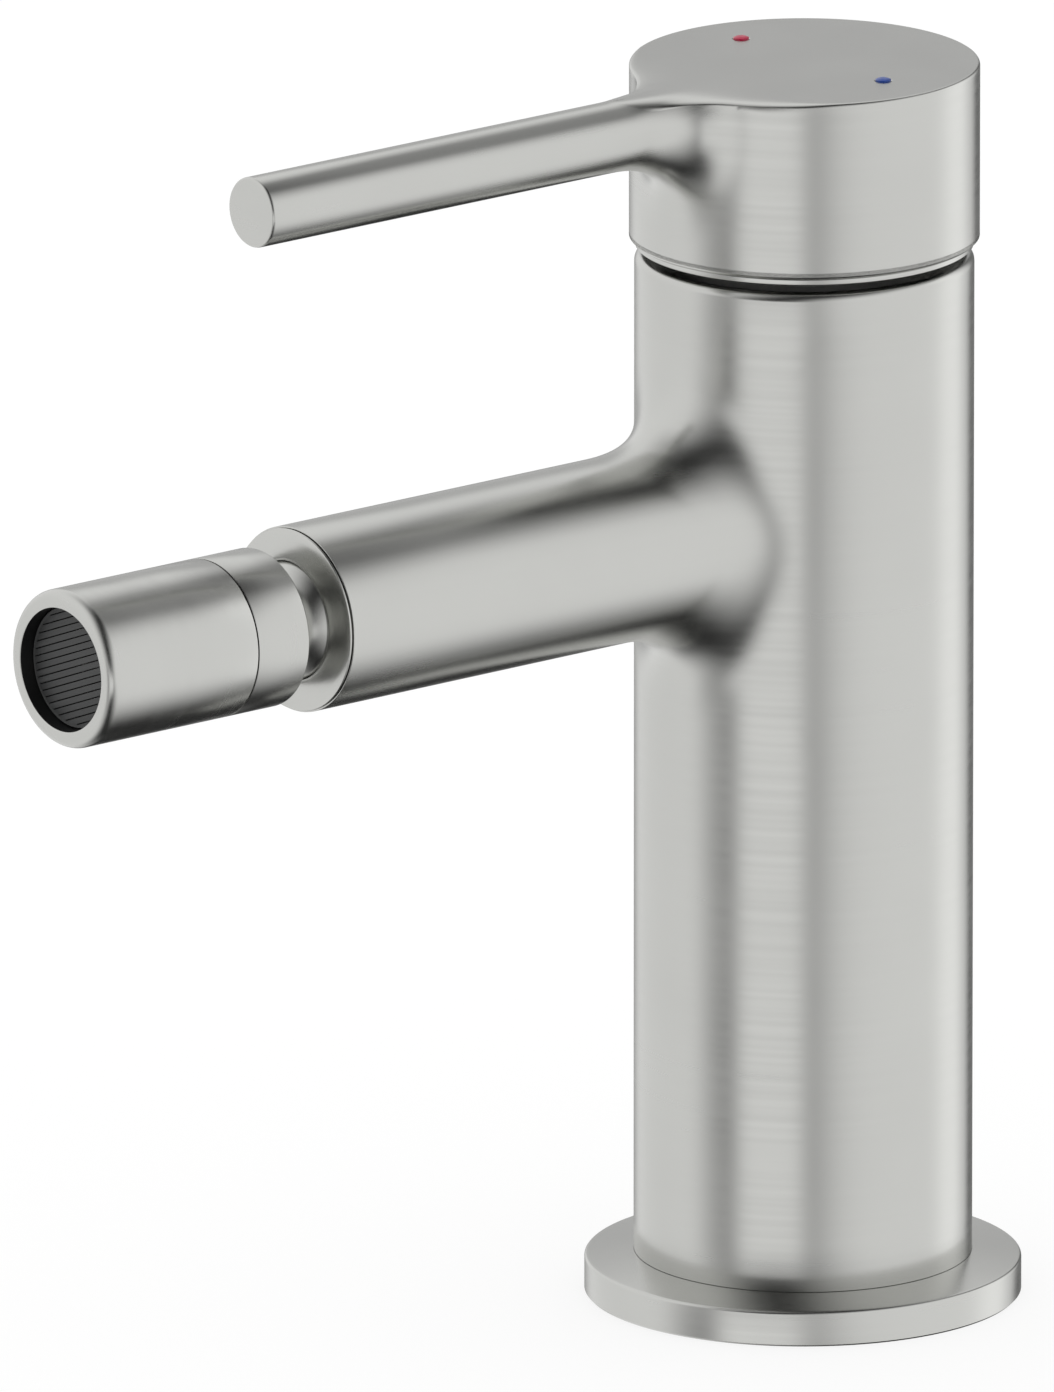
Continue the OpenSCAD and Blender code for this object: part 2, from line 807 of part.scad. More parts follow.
module aerator_screen() {
    count = floor((slot_field_r - slot_w / 2) / slot_pitch);
    color(grey_plastic) along(spout_height) translate([0, 0, screen_s]) difference() {
        cylinder(r = aerator_r, h = screen_t);
        rotate([0, 0, slot_turn]) for (i = [-count : count]) {
            half = sqrt(pow(slot_field_r, 2) - pow(abs(i) * slot_pitch + slot_w / 2, 2));
            translate([-half, i * slot_pitch - slot_w / 2, -over])
                cube([2 * half, slot_w, screen_t + 2 * over]);
        }
    }
}

body();
base_flange();
base_seal();
cartridge_housing();
cartridge_base();
port_seals();
fixed_disc();
retaining_nut();
dome_ring();
socket_ring();
ball_seal();
lever_holder();
rotor_seal();
pivot_pin();
disc_carrier();
moving_disc();
cartridge_stem();
handle();
grub_screw();
screw_plug();
hot_mark();
cold_mark();
ball_seat_ring();
swivel_ball();
sleeve_seal();
aerator_housing();
aerator_washer();
aerator_body();
aerator_filter();
aerator_insert();
aerator_screen();
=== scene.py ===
"""Looks of a single-lever bidet mixer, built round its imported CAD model.

The frame is in metres, with +Z up; the spout and the lever point along -Y, and hot is at -X.
"""

import json
import math

import bmesh
import bpy
from bpy.props import FloatProperty, FloatVectorProperty, IntProperty, PointerProperty
from mathutils import Matrix, Vector


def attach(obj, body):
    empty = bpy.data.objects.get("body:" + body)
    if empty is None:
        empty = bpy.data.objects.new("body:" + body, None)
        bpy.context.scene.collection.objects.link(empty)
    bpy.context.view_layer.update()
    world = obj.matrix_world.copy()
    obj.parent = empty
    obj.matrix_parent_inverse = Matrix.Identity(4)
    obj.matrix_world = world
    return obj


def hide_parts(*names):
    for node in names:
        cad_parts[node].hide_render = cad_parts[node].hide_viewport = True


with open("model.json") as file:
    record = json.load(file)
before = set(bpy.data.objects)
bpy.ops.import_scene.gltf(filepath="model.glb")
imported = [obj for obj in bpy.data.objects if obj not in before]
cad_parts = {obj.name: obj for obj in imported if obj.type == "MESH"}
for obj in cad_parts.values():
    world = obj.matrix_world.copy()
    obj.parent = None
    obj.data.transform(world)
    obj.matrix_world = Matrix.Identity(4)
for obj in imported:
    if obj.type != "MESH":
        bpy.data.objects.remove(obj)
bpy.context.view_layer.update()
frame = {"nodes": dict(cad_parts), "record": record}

bl_info = {
    "name": "Bidet mixer",
    "version": (1, 0, 0),
    "blender": (4, 5, 0),
    "location": "3D View > Sidebar > Mixer",
    "description": "Models and finishes the pieces of a single-lever bidet mixer",
    "category": "Object",
}

MM = 0.001

# Vertices nearer than MERGE are doubles, and faces nearer than SKIN to a wall's radius belong to the wall
MERGE = 0.002 * MM
SKIN = 0.1 * MM
# How far a cutter reaches past what it cuts, and the width of the bevels that only catch the light
OVER = 1 * MM
FINE = 0.05 * MM

# How early a fillet sets in and how late it ends, as shares of its tangent, and how far its handles reach
EARLY_START = 0.3
LATE_END = 0.3
START_PULL = 0.76
END_PULL = 0.72
TIP_STEPS = 4
HALVINGS = 50

# Values of a noise between which its patches, or its lines, fade in
PATCH_SPAN = (0.3, 0.7)
LINE_SPAN = (0.2, 0.8)
# Darkest and lightest patch, as shares of the colour, and how far the roughness strays from its mean
METAL_SHADES = (0.985, 1.01)
PLASTIC_SHADES = (0.93, 1.06)
METAL_PATCHES = (-0.012, 0.012)
METAL_LINES = (-0.02, 0.02)
SMOOTHER, ROUGHER = 0.04, 0.05
# Relief of the brushed lines and of the plastic's tooth, and the roughness of a clear coat
LINE_DEPTH = 0.02 * MM
TOOTH_STRENGTH = 0.35
COAT_ROUGHNESS = 0.06


def length(label, millimetres, note):
    """A size that a user can change, kept in metres."""
    return FloatProperty(name=label, description=note, default=millimetres * MM, unit="LENGTH", precision=5)


def turn(label, degrees, note):
    """An angle that a user can change, kept in radians."""
    return FloatProperty(name=label, description=note, default=math.radians(degrees), unit="ROTATION")


def count(label, number, note):
    return IntProperty(name=label, description=note, default=number, min=3, subtype="UNSIGNED")


def share(label, value, note):
    return FloatProperty(name=label, description=note, default=value, min=0.0, max=1.0, subtype="FACTOR")


def tint(label, red, green, blue, note):
    return FloatVectorProperty(
        name=label, description=note, default=(red, green, blue), size=3, min=0.0, max=1.0, subtype="COLOR"
    )


class MixerBodySizes(bpy.types.PropertyGroup):
    """Sizes of the column, its flange and the spout."""

    column_radius: length("Column radius", 22.5, "Outside radius of the column")
    column_top: length("Column height", 142.4, "Height of the column's top edge above the deck")
    shoulder: length("Shoulder", 1.2, "Rounding of the column's top edge")
    foot_z: length("Foot seam", 5.65, "Height of the seam between the column and the flange")
    foot_radius: length("Foot radius", 20.8, "Radius of the column's foot in the flange")
    foot_depth: length("Foot depth", 3.0, "Depth of the column's foot in the flange")
    cavity_radius: length("Cavity radius", 19.2, "Radius of the hose cavity")
    cavity_top: length("Cavity height", 86.0, "Height of the hose cavity's ceiling")
    chamber_radius: length("Chamber radius", 17.6, "Radius of the cartridge chamber")
    chamber_z: length("Chamber floor", 118.0, "Height of the cartridge chamber's floor")
    thread_radius: length("Thread radius", 18.5, "Radius of the thread for the cartridge nut")
    inlet_x: length("Inlet spacing", 8.0, "Half the distance between the two inlets")
    inlet_y: length("Inlet setback", 3.0, "Distance of the inlets behind the column's axis")
    inlet_radius: length("Inlet radius", 4.5, "Radius of the inlet threads")
    inlet_depth: length("Inlet depth", 10.0, "Depth of the inlet threads")
    water_radius: length("Water way radius", 3.4, "Radius of the water ways in the column")
    stud_y: length("Stud setback", 12.5, "Distance of the fixing stud behind the column's axis")
    spout_radius: length("Spout radius", 12.4, "Outside radius of the spout")
    spout_z: length("Spout height", 107.2, "Height of the spout's axis")
    spout_reach: length("Spout reach", 87.8, "Distance from the column's axis to the spout's end")
    spout_edge: length("Spout edge", 0.08, "Rounding of the spout's end")
    spout_fillet: length("Spout fillet", 10.0, "Ball radius of the fillet between spout and column")
    spout_bore: length("Spout bore", 8.0, "Radius of the spout's water way")
    flange_radius: length("Flange radius", 29.05, "Radius of the base flange")
    flange_rim: length("Flange rim", 4.8, "Height of the flange's rim")
    flange_edge: length("Flange edge", 0.4, "Rounding of the flange's top edge")
    sides: count("Sides", 144, "Number of sides of the column's outline")


class MixerHandleSizes(bpy.types.PropertyGroup):
    """Sizes of the cap, its lever and the two marks."""

    cap_radius: length("Cap radius", 23.2, "Outside radius of the cap")
    cap_z: length("Cap foot", 143.6, "Height of the cap's lower edge")
    cap_top: length("Cap height", 168.3, "Height of the cap's flat top")
    ceiling_z: length("Ceiling", 165.3, "Height of the ceiling inside the cap")
    rim_radius: length("Rim radius", 22.0, "Inside radius of the cap's rim")
    bore_radius: length("Bore radius", 21.3, "Inside radius of the cap above its rim")
    rim_height: length("Rim height", 3.4, "Height of the cap's thin rim")
    foot_round: length("Lower edge", 1.2, "Rounding of the cap's lower edge")
    foot_turn: turn("Lower edge turn", 70.0, "How far the rounding of the cap's lower edge turns in")
    lip_height: length("Lip height", 0.6, "Height of the upright lip under the rounding")
    edge: length("Top edge", 0.5, "Rounding of the cap's top edge")
    crown: length("Crown", 6.0, "Width of the soft crown where the lever's back runs into the cap's top")
    crown_fall: length("Crown fall", 1.3, "How far the soft crown falls beside the lever")
    lever_radius: length("Lever radius", 4.7, "Radius of the lever")
    lever_z: length("Lever height", 163.55, "Height of the lever's axis")
    lever_reach: length("Lever reach", 95.0, "Distance from the cap's axis to the lever's tip")
    lever_fillet: length("Lever fillet", 9.0, "Ball radius of the fillet between lever and cap")
    tip_round: length("Tip edge", 0.4, "Rounding of the lever's tip")
    boss_radius: length("Boss radius", 6.8, "Radius of the boss that holds the stem")
    boss_z: length("Boss foot", 151.0, "Height of the boss's lower face")
    grub_z: length("Grub screw height", 157.0, "Height of the grub screw's axis")
    plug_radius: length("Plug radius", 3.0, "Radius of the plug over the grub screw")
    mark_radius: length("Mark radius", 1.05, "Radius of the hot and cold marks")
    mark_x: length("Mark spacing", 14.5, "Distance of each mark from the cap's axis")
    mark_y: length("Mark setback", 1.3, "Distance of the marks behind the cap's axis")
    mark_rise: length("Mark rise", 0.45, "How far the marks stand proud")
    mark_depth: length("Mark depth", 1.5, "How deep the marks sit in the cap")
    sides: count("Sides", 144, "Number of sides of the cap's outline")


class MixerNozzleSizes(bpy.types.PropertyGroup):
    """Sizes of the ball joint, the sleeve and the recessed aerator."""

    ball_radius: length("Ball radius", 9.0, "Radius of the ball")
    ball_y: length("Ball place", 84.1, "Distance of the ball's centre from the column's axis")
    ring_radius: length("Ring radius", 12.2, "Radius of the socket ring's flange")
    ring_fall: length("Ring fall", 0.6, "How far the ring's face falls towards its rim")
    nozzle_radius: length("Nozzle radius", 10.6, "Outside radius of the collar and the sleeve")
    neck_radius: length("Neck radius", 5.5, "Radius of the neck between ball and collar")
    collar_y: length("Collar start", 93.8, "Distance of the collar from the column's axis")
    seam_y: length("Seam", 102.5, "Distance of the seam between collar and sleeve")
    mouth_y: length("Mouth", 127.5, "Distance of the nozzle's mouth")
    mouth_round: length("Mouth edge", 1.35, "Rounding of the mouth's outer edge")
    mouth_radius: length("Mouth radius", 8.25, "Radius of the nozzle's mouth")
    face_recess: length("Face recess", 2.0, "Depth of the aerator's face behind the mouth")
    slot_field: length("Slot field", 7.7, "Radius of the slotted field in the aerator's face")
    slot_pitch: length("Slot pitch", 0.92, "Distance from slot to slot in the aerator's face")
    slot_width: length("Slot width", 0.16, "Width of the slots in the aerator's face")
    slot_turn: turn("Slot turn", 21.5, "Turn of the slots about the nozzle's axis")


class MixerFinish(bpy.types.PropertyGroup):
    """Colours and gloss of the finishes."""

    nickel: tint("Nickel", 0.568, 0.570, 0.550, "Colour of the satin nickel plating")
    nickel_gloss: share("Nickel roughness", 0.25, "Roughness of the satin nickel plating")
    steel: tint("Steel", 0.62, 0.62, 0.62, "Colour of the dark turned steel")
    brass: tint("Brass", 0.72, 0.50, 0.22, "Colour of the unplated brass")
    rubber: tint("Rubber", 0.018, 0.018, 0.019, "Colour of the seals")
    white_plastic: tint("White plastic", 0.72, 0.72, 0.68, "Colour of the white plastic parts")
    grey_plastic: tint("Grey plastic", 0.055, 0.056, 0.058, "Colour of the dark plastic parts")
    screen: tint("Aerator face", 0.042, 0.043, 0.043, "Colour of the aerator's face")
    bore: tint("Bore", 0.004, 0.004, 0.004, "Colour of the unplated bore behind the mouth")
    # The bore's near-black colour is painted shade inside the mouth, not a colour the metal has.
    ceramic: tint("Ceramic", 0.82, 0.81, 0.77, "Colour of the ceramic discs")
    hot: tint("Hot mark", 0.42, 0.008, 0.05, "Colour of the hot mark")
    cold: tint("Cold mark", 0.006, 0.045, 0.26, "Colour of the cold mark")


class MixerStage(bpy.types.PropertyGroup):
    """Place of the camera."""

    azimuth: turn("Camera azimuth", 50.0, "Turn of the camera from the front, towards the cold side")
    elevation: turn("Camera elevation", 15.2, "Height of the camera's line of sight")
    distance: length("Camera distance", 6580, "Distance of the camera")
    lens: FloatProperty(name="Lens", description="Focal length", default=1280.0, min=50.0, unit="CAMERA")
    aside: length("Aim aside", -36.66, "How far the aim lies to the right of the tap hole's centre")
    above: length("Aim above", 78.57, "How far the aim lies above the tap hole's centre")


# Modelling


def deselect():
    active = bpy.context.view_layer.objects.active
    if active is not None and active.mode != "OBJECT":
        bpy.ops.object.mode_set(mode="OBJECT")
    bpy.ops.object.select_all(action="DESELECT")


def activate(piece):
    deselect()
    piece.select_set(True)
    bpy.context.view_layer.objects.active = piece


def edit(piece, select="SELECT"):
    activate(piece)
    bpy.ops.object.mode_set(mode="EDIT")
    bpy.ops.mesh.select_mode(type="FACE")
    bpy.ops.mesh.select_all(action=select)


def named(name):
    piece = bpy.context.object
    piece.name = name
    piece.data.name = name
    return piece


def settle(piece):
    """Puts the object's place and turn into its mesh."""
    activate(piece)
    bpy.ops.object.transform_apply(location=True, rotation=True, scale=True)
    return piece


def tidy(piece):
    """Merges doubles and turns every face outwards."""
    edit(piece)
    bpy.ops.mesh.remove_doubles(threshold=MERGE)
    bpy.ops.mesh.select_all(action="SELECT")
    bpy.ops.mesh.normals_make_consistent(inside=False)
    bpy.ops.object.mode_set(mode="OBJECT")
    return piece


def turned(name, profile, sides):
    """Skin turned round +Z from a profile of (radius, height) points, ring by ring."""
    deselect()
    radius, height = profile[0]
    bpy.ops.mesh.primitive_circle_add(vertices=sides, radius=radius, location=(0, 0, height))
    piece = settle(named(name))
    bpy.ops.object.mode_set(mode="EDIT")
    bpy.ops.mesh.select_mode(type="VERT")
    bpy.ops.mesh.select_all(action="SELECT")
    for wide, high in profile[1:]:
        bpy.ops.mesh.extrude_edges_move(TRANSFORM_OT_translate={"value": (0, 0, high - height)})
        if wide != radius:
            grow = wide / radius
            bpy.ops.transform.resize(value=(grow, grow, 1), center_override=(0, 0, high))
        radius, height = wide, high
    bpy.ops.mesh.select_all(action="SELECT")
    bpy.ops.mesh.remove_doubles(threshold=MERGE)
    bpy.ops.object.mode_set(mode="OBJECT")
    return piece


def ring(name, profile, sides):
    """Ring turned from a profile that is closed on itself."""
    return tidy(turned(name, profile + profile[:1], sides))


def solid(name, profile, sides):
    """Turned solid, with both its ends closed flat."""
    piece = turned(name, profile, sides)
    edit(piece)
    bpy.ops.mesh.fill_holes(sides=0)
    bpy.ops.object.mode_set(mode="OBJECT")
    return tidy(piece)


def aim_forward(piece, height):
    """Turns a piece made along +Z so that it points along the spout at a height."""
    piece.rotation_euler = (math.pi / 2, 0, 0)
    piece.location = (0, 0, height)
    return settle(piece)


def combine(piece, other, operation):
    activate(piece)
    boolean = piece.modifiers.new(operation, "BOOLEAN")
    boolean.operation = operation
    boolean.solver = "EXACT"
    boolean.object = other
    bpy.ops.object.modifier_apply(modifier=boolean.name)
    bpy.data.objects.remove(other)
    return piece


def join(piece, other):
    return combine(piece, other, "UNION")


def cut(piece, tool):
    return combine(piece, tool, "DIFFERENCE")


def rod(radius, start, end, sides=48):
    """Closed cylinder from one point to another, for joining or cutting."""
    deselect()
    start, end = Vector(start), Vector(end)
    along = end - start
    bpy.ops.mesh.primitive_cylinder_add(
        vertices=sides, radius=radius, depth=along.length, location=(start + end) / 2,
        rotation=along.to_track_quat("Z", "Y").to_euler(),
    )
    return settle(bpy.context.object)


def block(low, high):
    """Closed box between two corners, for joining or cutting."""
    deselect()
    low, high = Vector(low), Vector(high)
    bpy.ops.mesh.primitive_cube_add(size=1, location=(low + high) / 2, scale=high - low)
    return settle(bpy.context.object)


def arc(centre_r, centre_z, radius, start, end, steps):
    """Points of an arc in a profile, by angles in degrees."""
    angles = [math.radians(start + (end - start) * i / steps) for i in range(steps + 1)]
    return [(centre_r + radius * math.cos(a), centre_z + radius * math.sin(a)) for a in angles]


def finish(piece, material, body, slot, *nodes, angle=30.0):
    """Shades, colours and fastens a finished piece."""
    activate(piece)
    bpy.ops.object.shade_smooth_by_angle(angle=math.radians(angle))
    piece.data.materials.clear()
    piece.data.materials.append(material)
    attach(piece, body)
    if nodes:
        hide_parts(*nodes)
    deselect()


# Soft fillets between a stem and the branch that leaves it


def last_below(value, limit, low, high):
    """The last place between low and high where a rising value is still below its limit."""
    for _ in range(HALVINGS):
        middle = (low + high) / 2
        if value(middle) < limit:
            low = middle
        else:
            high = middle
    return low


def fillet_curve(angle, stem, branch, ball):
    """Handles of the curve that leaves the branch at an angle and runs out on the stem.

    A point is (side, rise, distance). The curve keeps near the path of a rolling ball, but it starts ahead
    of the ball's contact with the branch and ends beyond its contact with the stem, so that it sets in and
    runs out softly.
    """
    side = (branch + ball) * math.cos(angle)
    rise = (branch + ball) * math.sin(angle)
    depth = math.sqrt((stem + ball) ** 2 - side * side)
    centre = Vector((side, rise, depth))
    to_branch = Vector((-math.cos(angle), -math.sin(angle), 0))
    to_stem = Vector((-side, 0, -depth)) / (stem + ball)
    corner = centre + ball * (to_branch + to_stem) / (1 + to_branch.dot(to_stem))
    contact = centre + ball * to_branch
    start = contact + Vector((0, 0, EARLY_START * (corner - contact).length))
    end = centre + ball * to_stem
    end += LATE_END * (end - corner)
    end *= stem / math.hypot(end.x, end.z)
    end.y = rise + LATE_END * (rise - corner.y)
    wall = Vector((end.x, 0, end.z)) / stem
    along = corner - end
    along -= wall * along.dot(wall)
    return start, start.lerp(corner, START_PULL), end + END_PULL * along, end


def on_curve(handles, t):
    """Point of the curve, with t from 0 on the branch to 1 on the stem."""
    start, first, last, end = handles
    s = 1 - t
    return s ** 3 * start + 3 * s * s * t * first + 3 * s * t * t * last + t ** 3 * end


def rise_to(handles, height):
    """Where the curve rises to a height."""
    return last_below(lambda t: on_curve(handles, t).y, height, 0.0, 1.0)


def reach_out(root, radius, height, distance, rounding):
    """Rows from the rounded tip of a rod back to its root, the tip's flat first."""
    rings = [(radius - 3 * rounding, distance)]
    for step in range(TIP_STEPS, -1, -1):
        a = math.pi / 2 * step / TIP_STEPS
        wide, far = radius - rounding + rounding * math.cos(a), distance - rounding + rounding * math.sin(a)
        rings.append((wide, far))
    rows = []
    for wide, far in rings:
        grow = wide / radius
        rows.append([Vector((p.x * grow, -far, height + (p.z - height) * grow)) for p in root])
    tip = rows[-1]
    return rows + [[p.lerp(q, part) for p, q in zip(tip, root)] for part in (1 / 3, 2 / 3)]


def forward(point, height):
    """From (side, rise, distance) to the frame."""
    return Vector((point.x, -point.z, height + point.y))


def on_wall(radius, azimuth, z):
    """Point on an upright cylinder, by the angle from the spout's direction towards +X."""
    return Vector((radius * math.sin(azimuth), -radius * math.cos(azimuth), z))


def wall_place(point):
    return math.atan2(point.x, -point.y), point.z


def between(radius, first, last, t):
    """Point on the cylinder's wall part of the way between two others."""
    (a, z), (b, w) = wall_place(first), wall_place(last)
    return on_wall(radius, a + (b - a) * t, z + (w - z) * t)


def soft_step(value):
    """0 below 0 and 1 above 1, with a smooth rise between them."""
    value = max(0.0, min(1.0, value))
    return value * value * (3 - 2 * value)


def near_vert(verts, point):
    return min(verts, key=lambda v: (v.co - point).length_squared)


def open_wall(piece, radius, holds):
    """Deletes a wall's faces whose azimuth and height pass a test, and gives the mesh back for editing."""
    edit(piece, "DESELECT")
    bm = bmesh.from_edit_mesh(piece.data)
    for face in bm.faces:
        middle = face.calc_center_median()
        on_skin = math.hypot(middle.x, middle.y) > radius - SKIN
        face.select_set(on_skin and holds(*wall_place(middle)))
    bpy.ops.mesh.delete(type="FACE")
    return bmesh.from_edit_mesh(piece.data)


def skin(bm, rows, closed=True):
    """Faces between rows of vertices with the same count."""
    for low, high in zip(rows, rows[1:]):
        number = len(low)
        for i in range(number if closed else number - 1):
            j = (i + 1) % number
            corners = []
            for vert in (low[i], low[j], high[j], high[i]):
                if vert not in corners:
                    corners.append(vert)
            if len(corners) > 2:
                bm.faces.new(corners)


def add_row(bm, points):
    return [bm.verts.new(point) for point in points]


# Materials


class Nodes:
    """Shorthand for a material's or a world's node tree."""

    def __init__(self, tree):
        self.tree = tree
        tree.nodes.clear()

    def add(self, kind, inputs=None, **settings):
        """New node; each input takes a value or another node's output."""
        node = self.tree.nodes.new("ShaderNode" + kind)
        for name, value in settings.items():
            setattr(node, name, value)
        for name, value in (inputs or {}).items():
            socket = node.inputs[name]
            if isinstance(value, bpy.types.NodeSocket):
                self.tree.links.new(value, socket)
            else:
                socket.default_value = value
        return node

    def math(self, operation, first, second=0.0):
        return self.add("Math", {0: first, 1: second}, operation=operation).outputs[0]

    def plus(self, first, second):
        return self.math("ADD", first, second)

    def times(self, first, second):
        return self.math("MULTIPLY", first, second)

    def mix(self, first, second, part):
        """First where part is 0, and second where it is 1."""
        return self.plus(self.times(first, self.math("SUBTRACT", 1.0, part)), self.times(second, part))

    def ramp(self, value, low, high, start=0.0, end=1.0):
        inputs = {"Value": value, "From Min": low, "From Max": high, "To Min": start, "To Max": end}
        return self.add("MapRange", inputs, interpolation_type="SMOOTHSTEP").outputs["Result"]

    def noise(self, stretch, scale, detail=2.0):
        """Noise on the object's own coordinates, squeezed along each axis by the numbers in stretch."""
        source = self.add("TexCoord").outputs["Object"]
        place = self.add("Mapping", {"Vector": source, "Scale": stretch}).outputs["Vector"]
        return self.add("TexNoise", {"Vector": place, "Scale": scale, "Detail": detail}).outputs["Fac"]

    def blend(self, factor, first, second):
        return self.add("Mix", {"Factor": factor, 6: first, 7: second}, data_type="RGBA").outputs[2]

    def bump(self, height, strength, distance):
        inputs = {"Height": height, "Strength": strength, "Distance": distance}
        return self.add("Bump", inputs).outputs["Normal"]

    def surface(self, inputs):
        shader = self.add("BsdfPrincipled", inputs)
        self.add("OutputMaterial", {"Surface": shader.outputs["BSDF"]})


def blank(name):
    """New material with an empty node tree."""
    material = bpy.data.materials.new(name)
    material.use_nodes = True
    return material, Nodes(material.node_tree)


def patches(nodes, cloud, colour, shades):
    """Colour that strays between two shades of itself, patch by patch."""
    dark, light = [(*[channel * factor for channel in colour], 1.0) for factor in shades]
    return nodes.blend(nodes.ramp(cloud, *PATCH_SPAN), dark, light)


def satin_metal(name, colour, roughness, grain, streak=0.04, metallic=1.0):
    """Satin-brushed metal, whose lines run round the axis with the largest number in grain."""
    material, nodes = blank(name)
    lines = nodes.noise(grain, 1.0, 1.0)
    cloud = nodes.noise((60, 60, 60), 1.0)
    patchy = nodes.ramp(cloud, *PATCH_SPAN, *METAL_PATCHES)
    rough = nodes.plus(patchy, nodes.ramp(lines, *LINE_SPAN, *METAL_LINES))
    nodes.surface({
        "Metallic": metallic,
        "Base Color": patches(nodes, cloud, colour, METAL_SHADES),
        "Roughness": nodes.plus(rough, roughness),
        "Normal": nodes.bump(lines, streak, LINE_DEPTH),
    })
    return material


def moulded(name, colour, roughness, grain, depth, sheen=0.0, coat=0.0):
    """Moulded plastic, rubber or ceramic with a fine tooth, its depth in millimetres."""
    material, nodes = blank(name)
    tooth = nodes.noise((1, 1, 1), grain, 3.0)
    cloud = nodes.noise((1, 1, 1), 90.0)
    nodes.surface({
        "Base Color": patches(nodes, cloud, colour, PLASTIC_SHADES),
        "Roughness": nodes.ramp(cloud, *LINE_SPAN, roughness - SMOOTHER, roughness + ROUGHER),
        "Normal": nodes.bump(tooth, TOOTH_STRENGTH, depth * MM),
        "Sheen Weight": sheen,
        "Coat Weight": coat,
        "Coat Roughness": COAT_ROUGHNESS,
    })
    return material


def make_finishes(look):
    nickel, steel, gloss = tuple(look.nickel), tuple(look.steel), look.nickel_gloss
    return {
        "nickel_upright": satin_metal("satin_nickel_upright", nickel, gloss, (4, 4, 900)),
        "nickel_forward": satin_metal("satin_nickel_forward", nickel, gloss, (4, 900, 4)),
        "steel": satin_metal("dark_turned_steel", steel, 0.4, (30, 30, 2000), 0.12, metallic=0.5),
        "brass": satin_metal("unplated_brass", tuple(look.brass), 0.3, (30, 30, 1800), 0.15),
        "rubber": moulded("matt_seal_rubber", tuple(look.rubber), 0.62, 3000.0, 0.015, sheen=0.2),
        "white": moulded("white_acetal", tuple(look.white_plastic), 0.38, 2200.0, 0.008),
        "grey": moulded("dark_grey_polymer", tuple(look.grey_plastic), 0.42, 2600.0, 0.012),
        "screen": moulded("aerator_polymer", tuple(look.screen), 0.5, 2600.0, 0.01),
        # Near-black finish that paints the shade inside the bore behind the mouth
        "bore_painted_shade": moulded("bore_painted_shade", tuple(look.bore), 0.45, 1800.0, 0.006),
        "ceramic": moulded("lapped_ceramic", tuple(look.ceramic), 0.16, 5000.0, 0.002),
        "hot": moulded("glossy_red_inlay", tuple(look.hot), 0.12, 2000.0, 0.002, coat=0.2),
        "cold": moulded("glossy_blue_inlay", tuple(look.cold), 0.12, 2000.0, 0.002, coat=0.2),
    }


FINISHES = {}
FINISH_OF_SLOT = {
    "brushed_nickel": "nickel_upright",
    "dark_steel": "steel",
    "raw_brass": "brass",
    "black_rubber": "rubber",
    "white_plastic": "white",
    "grey_plastic": "grey",
    "ceramic": "ceramic",
    "hot_red": "hot",
    "cold_blue": "cold",
}


# Operators


class MIXER_OT_finishes(bpy.types.Operator):
    """Make the finishes of the mixer and put them on the CAD nodes"""

    bl_idname = "mixer.finishes"
    bl_label = "Finishes"

    def execute(self, context):
        FINISHES.update(make_finishes(context.scene.mixer_finish))
        for entry in frame["record"]["subparts"]:
            for holder in frame["nodes"][entry["node"]].material_slots:
                holder.link = "OBJECT"
                holder.material = FINISHES[FINISH_OF_SLOT[entry["material_slot"]]]
        return {"FINISHED"}


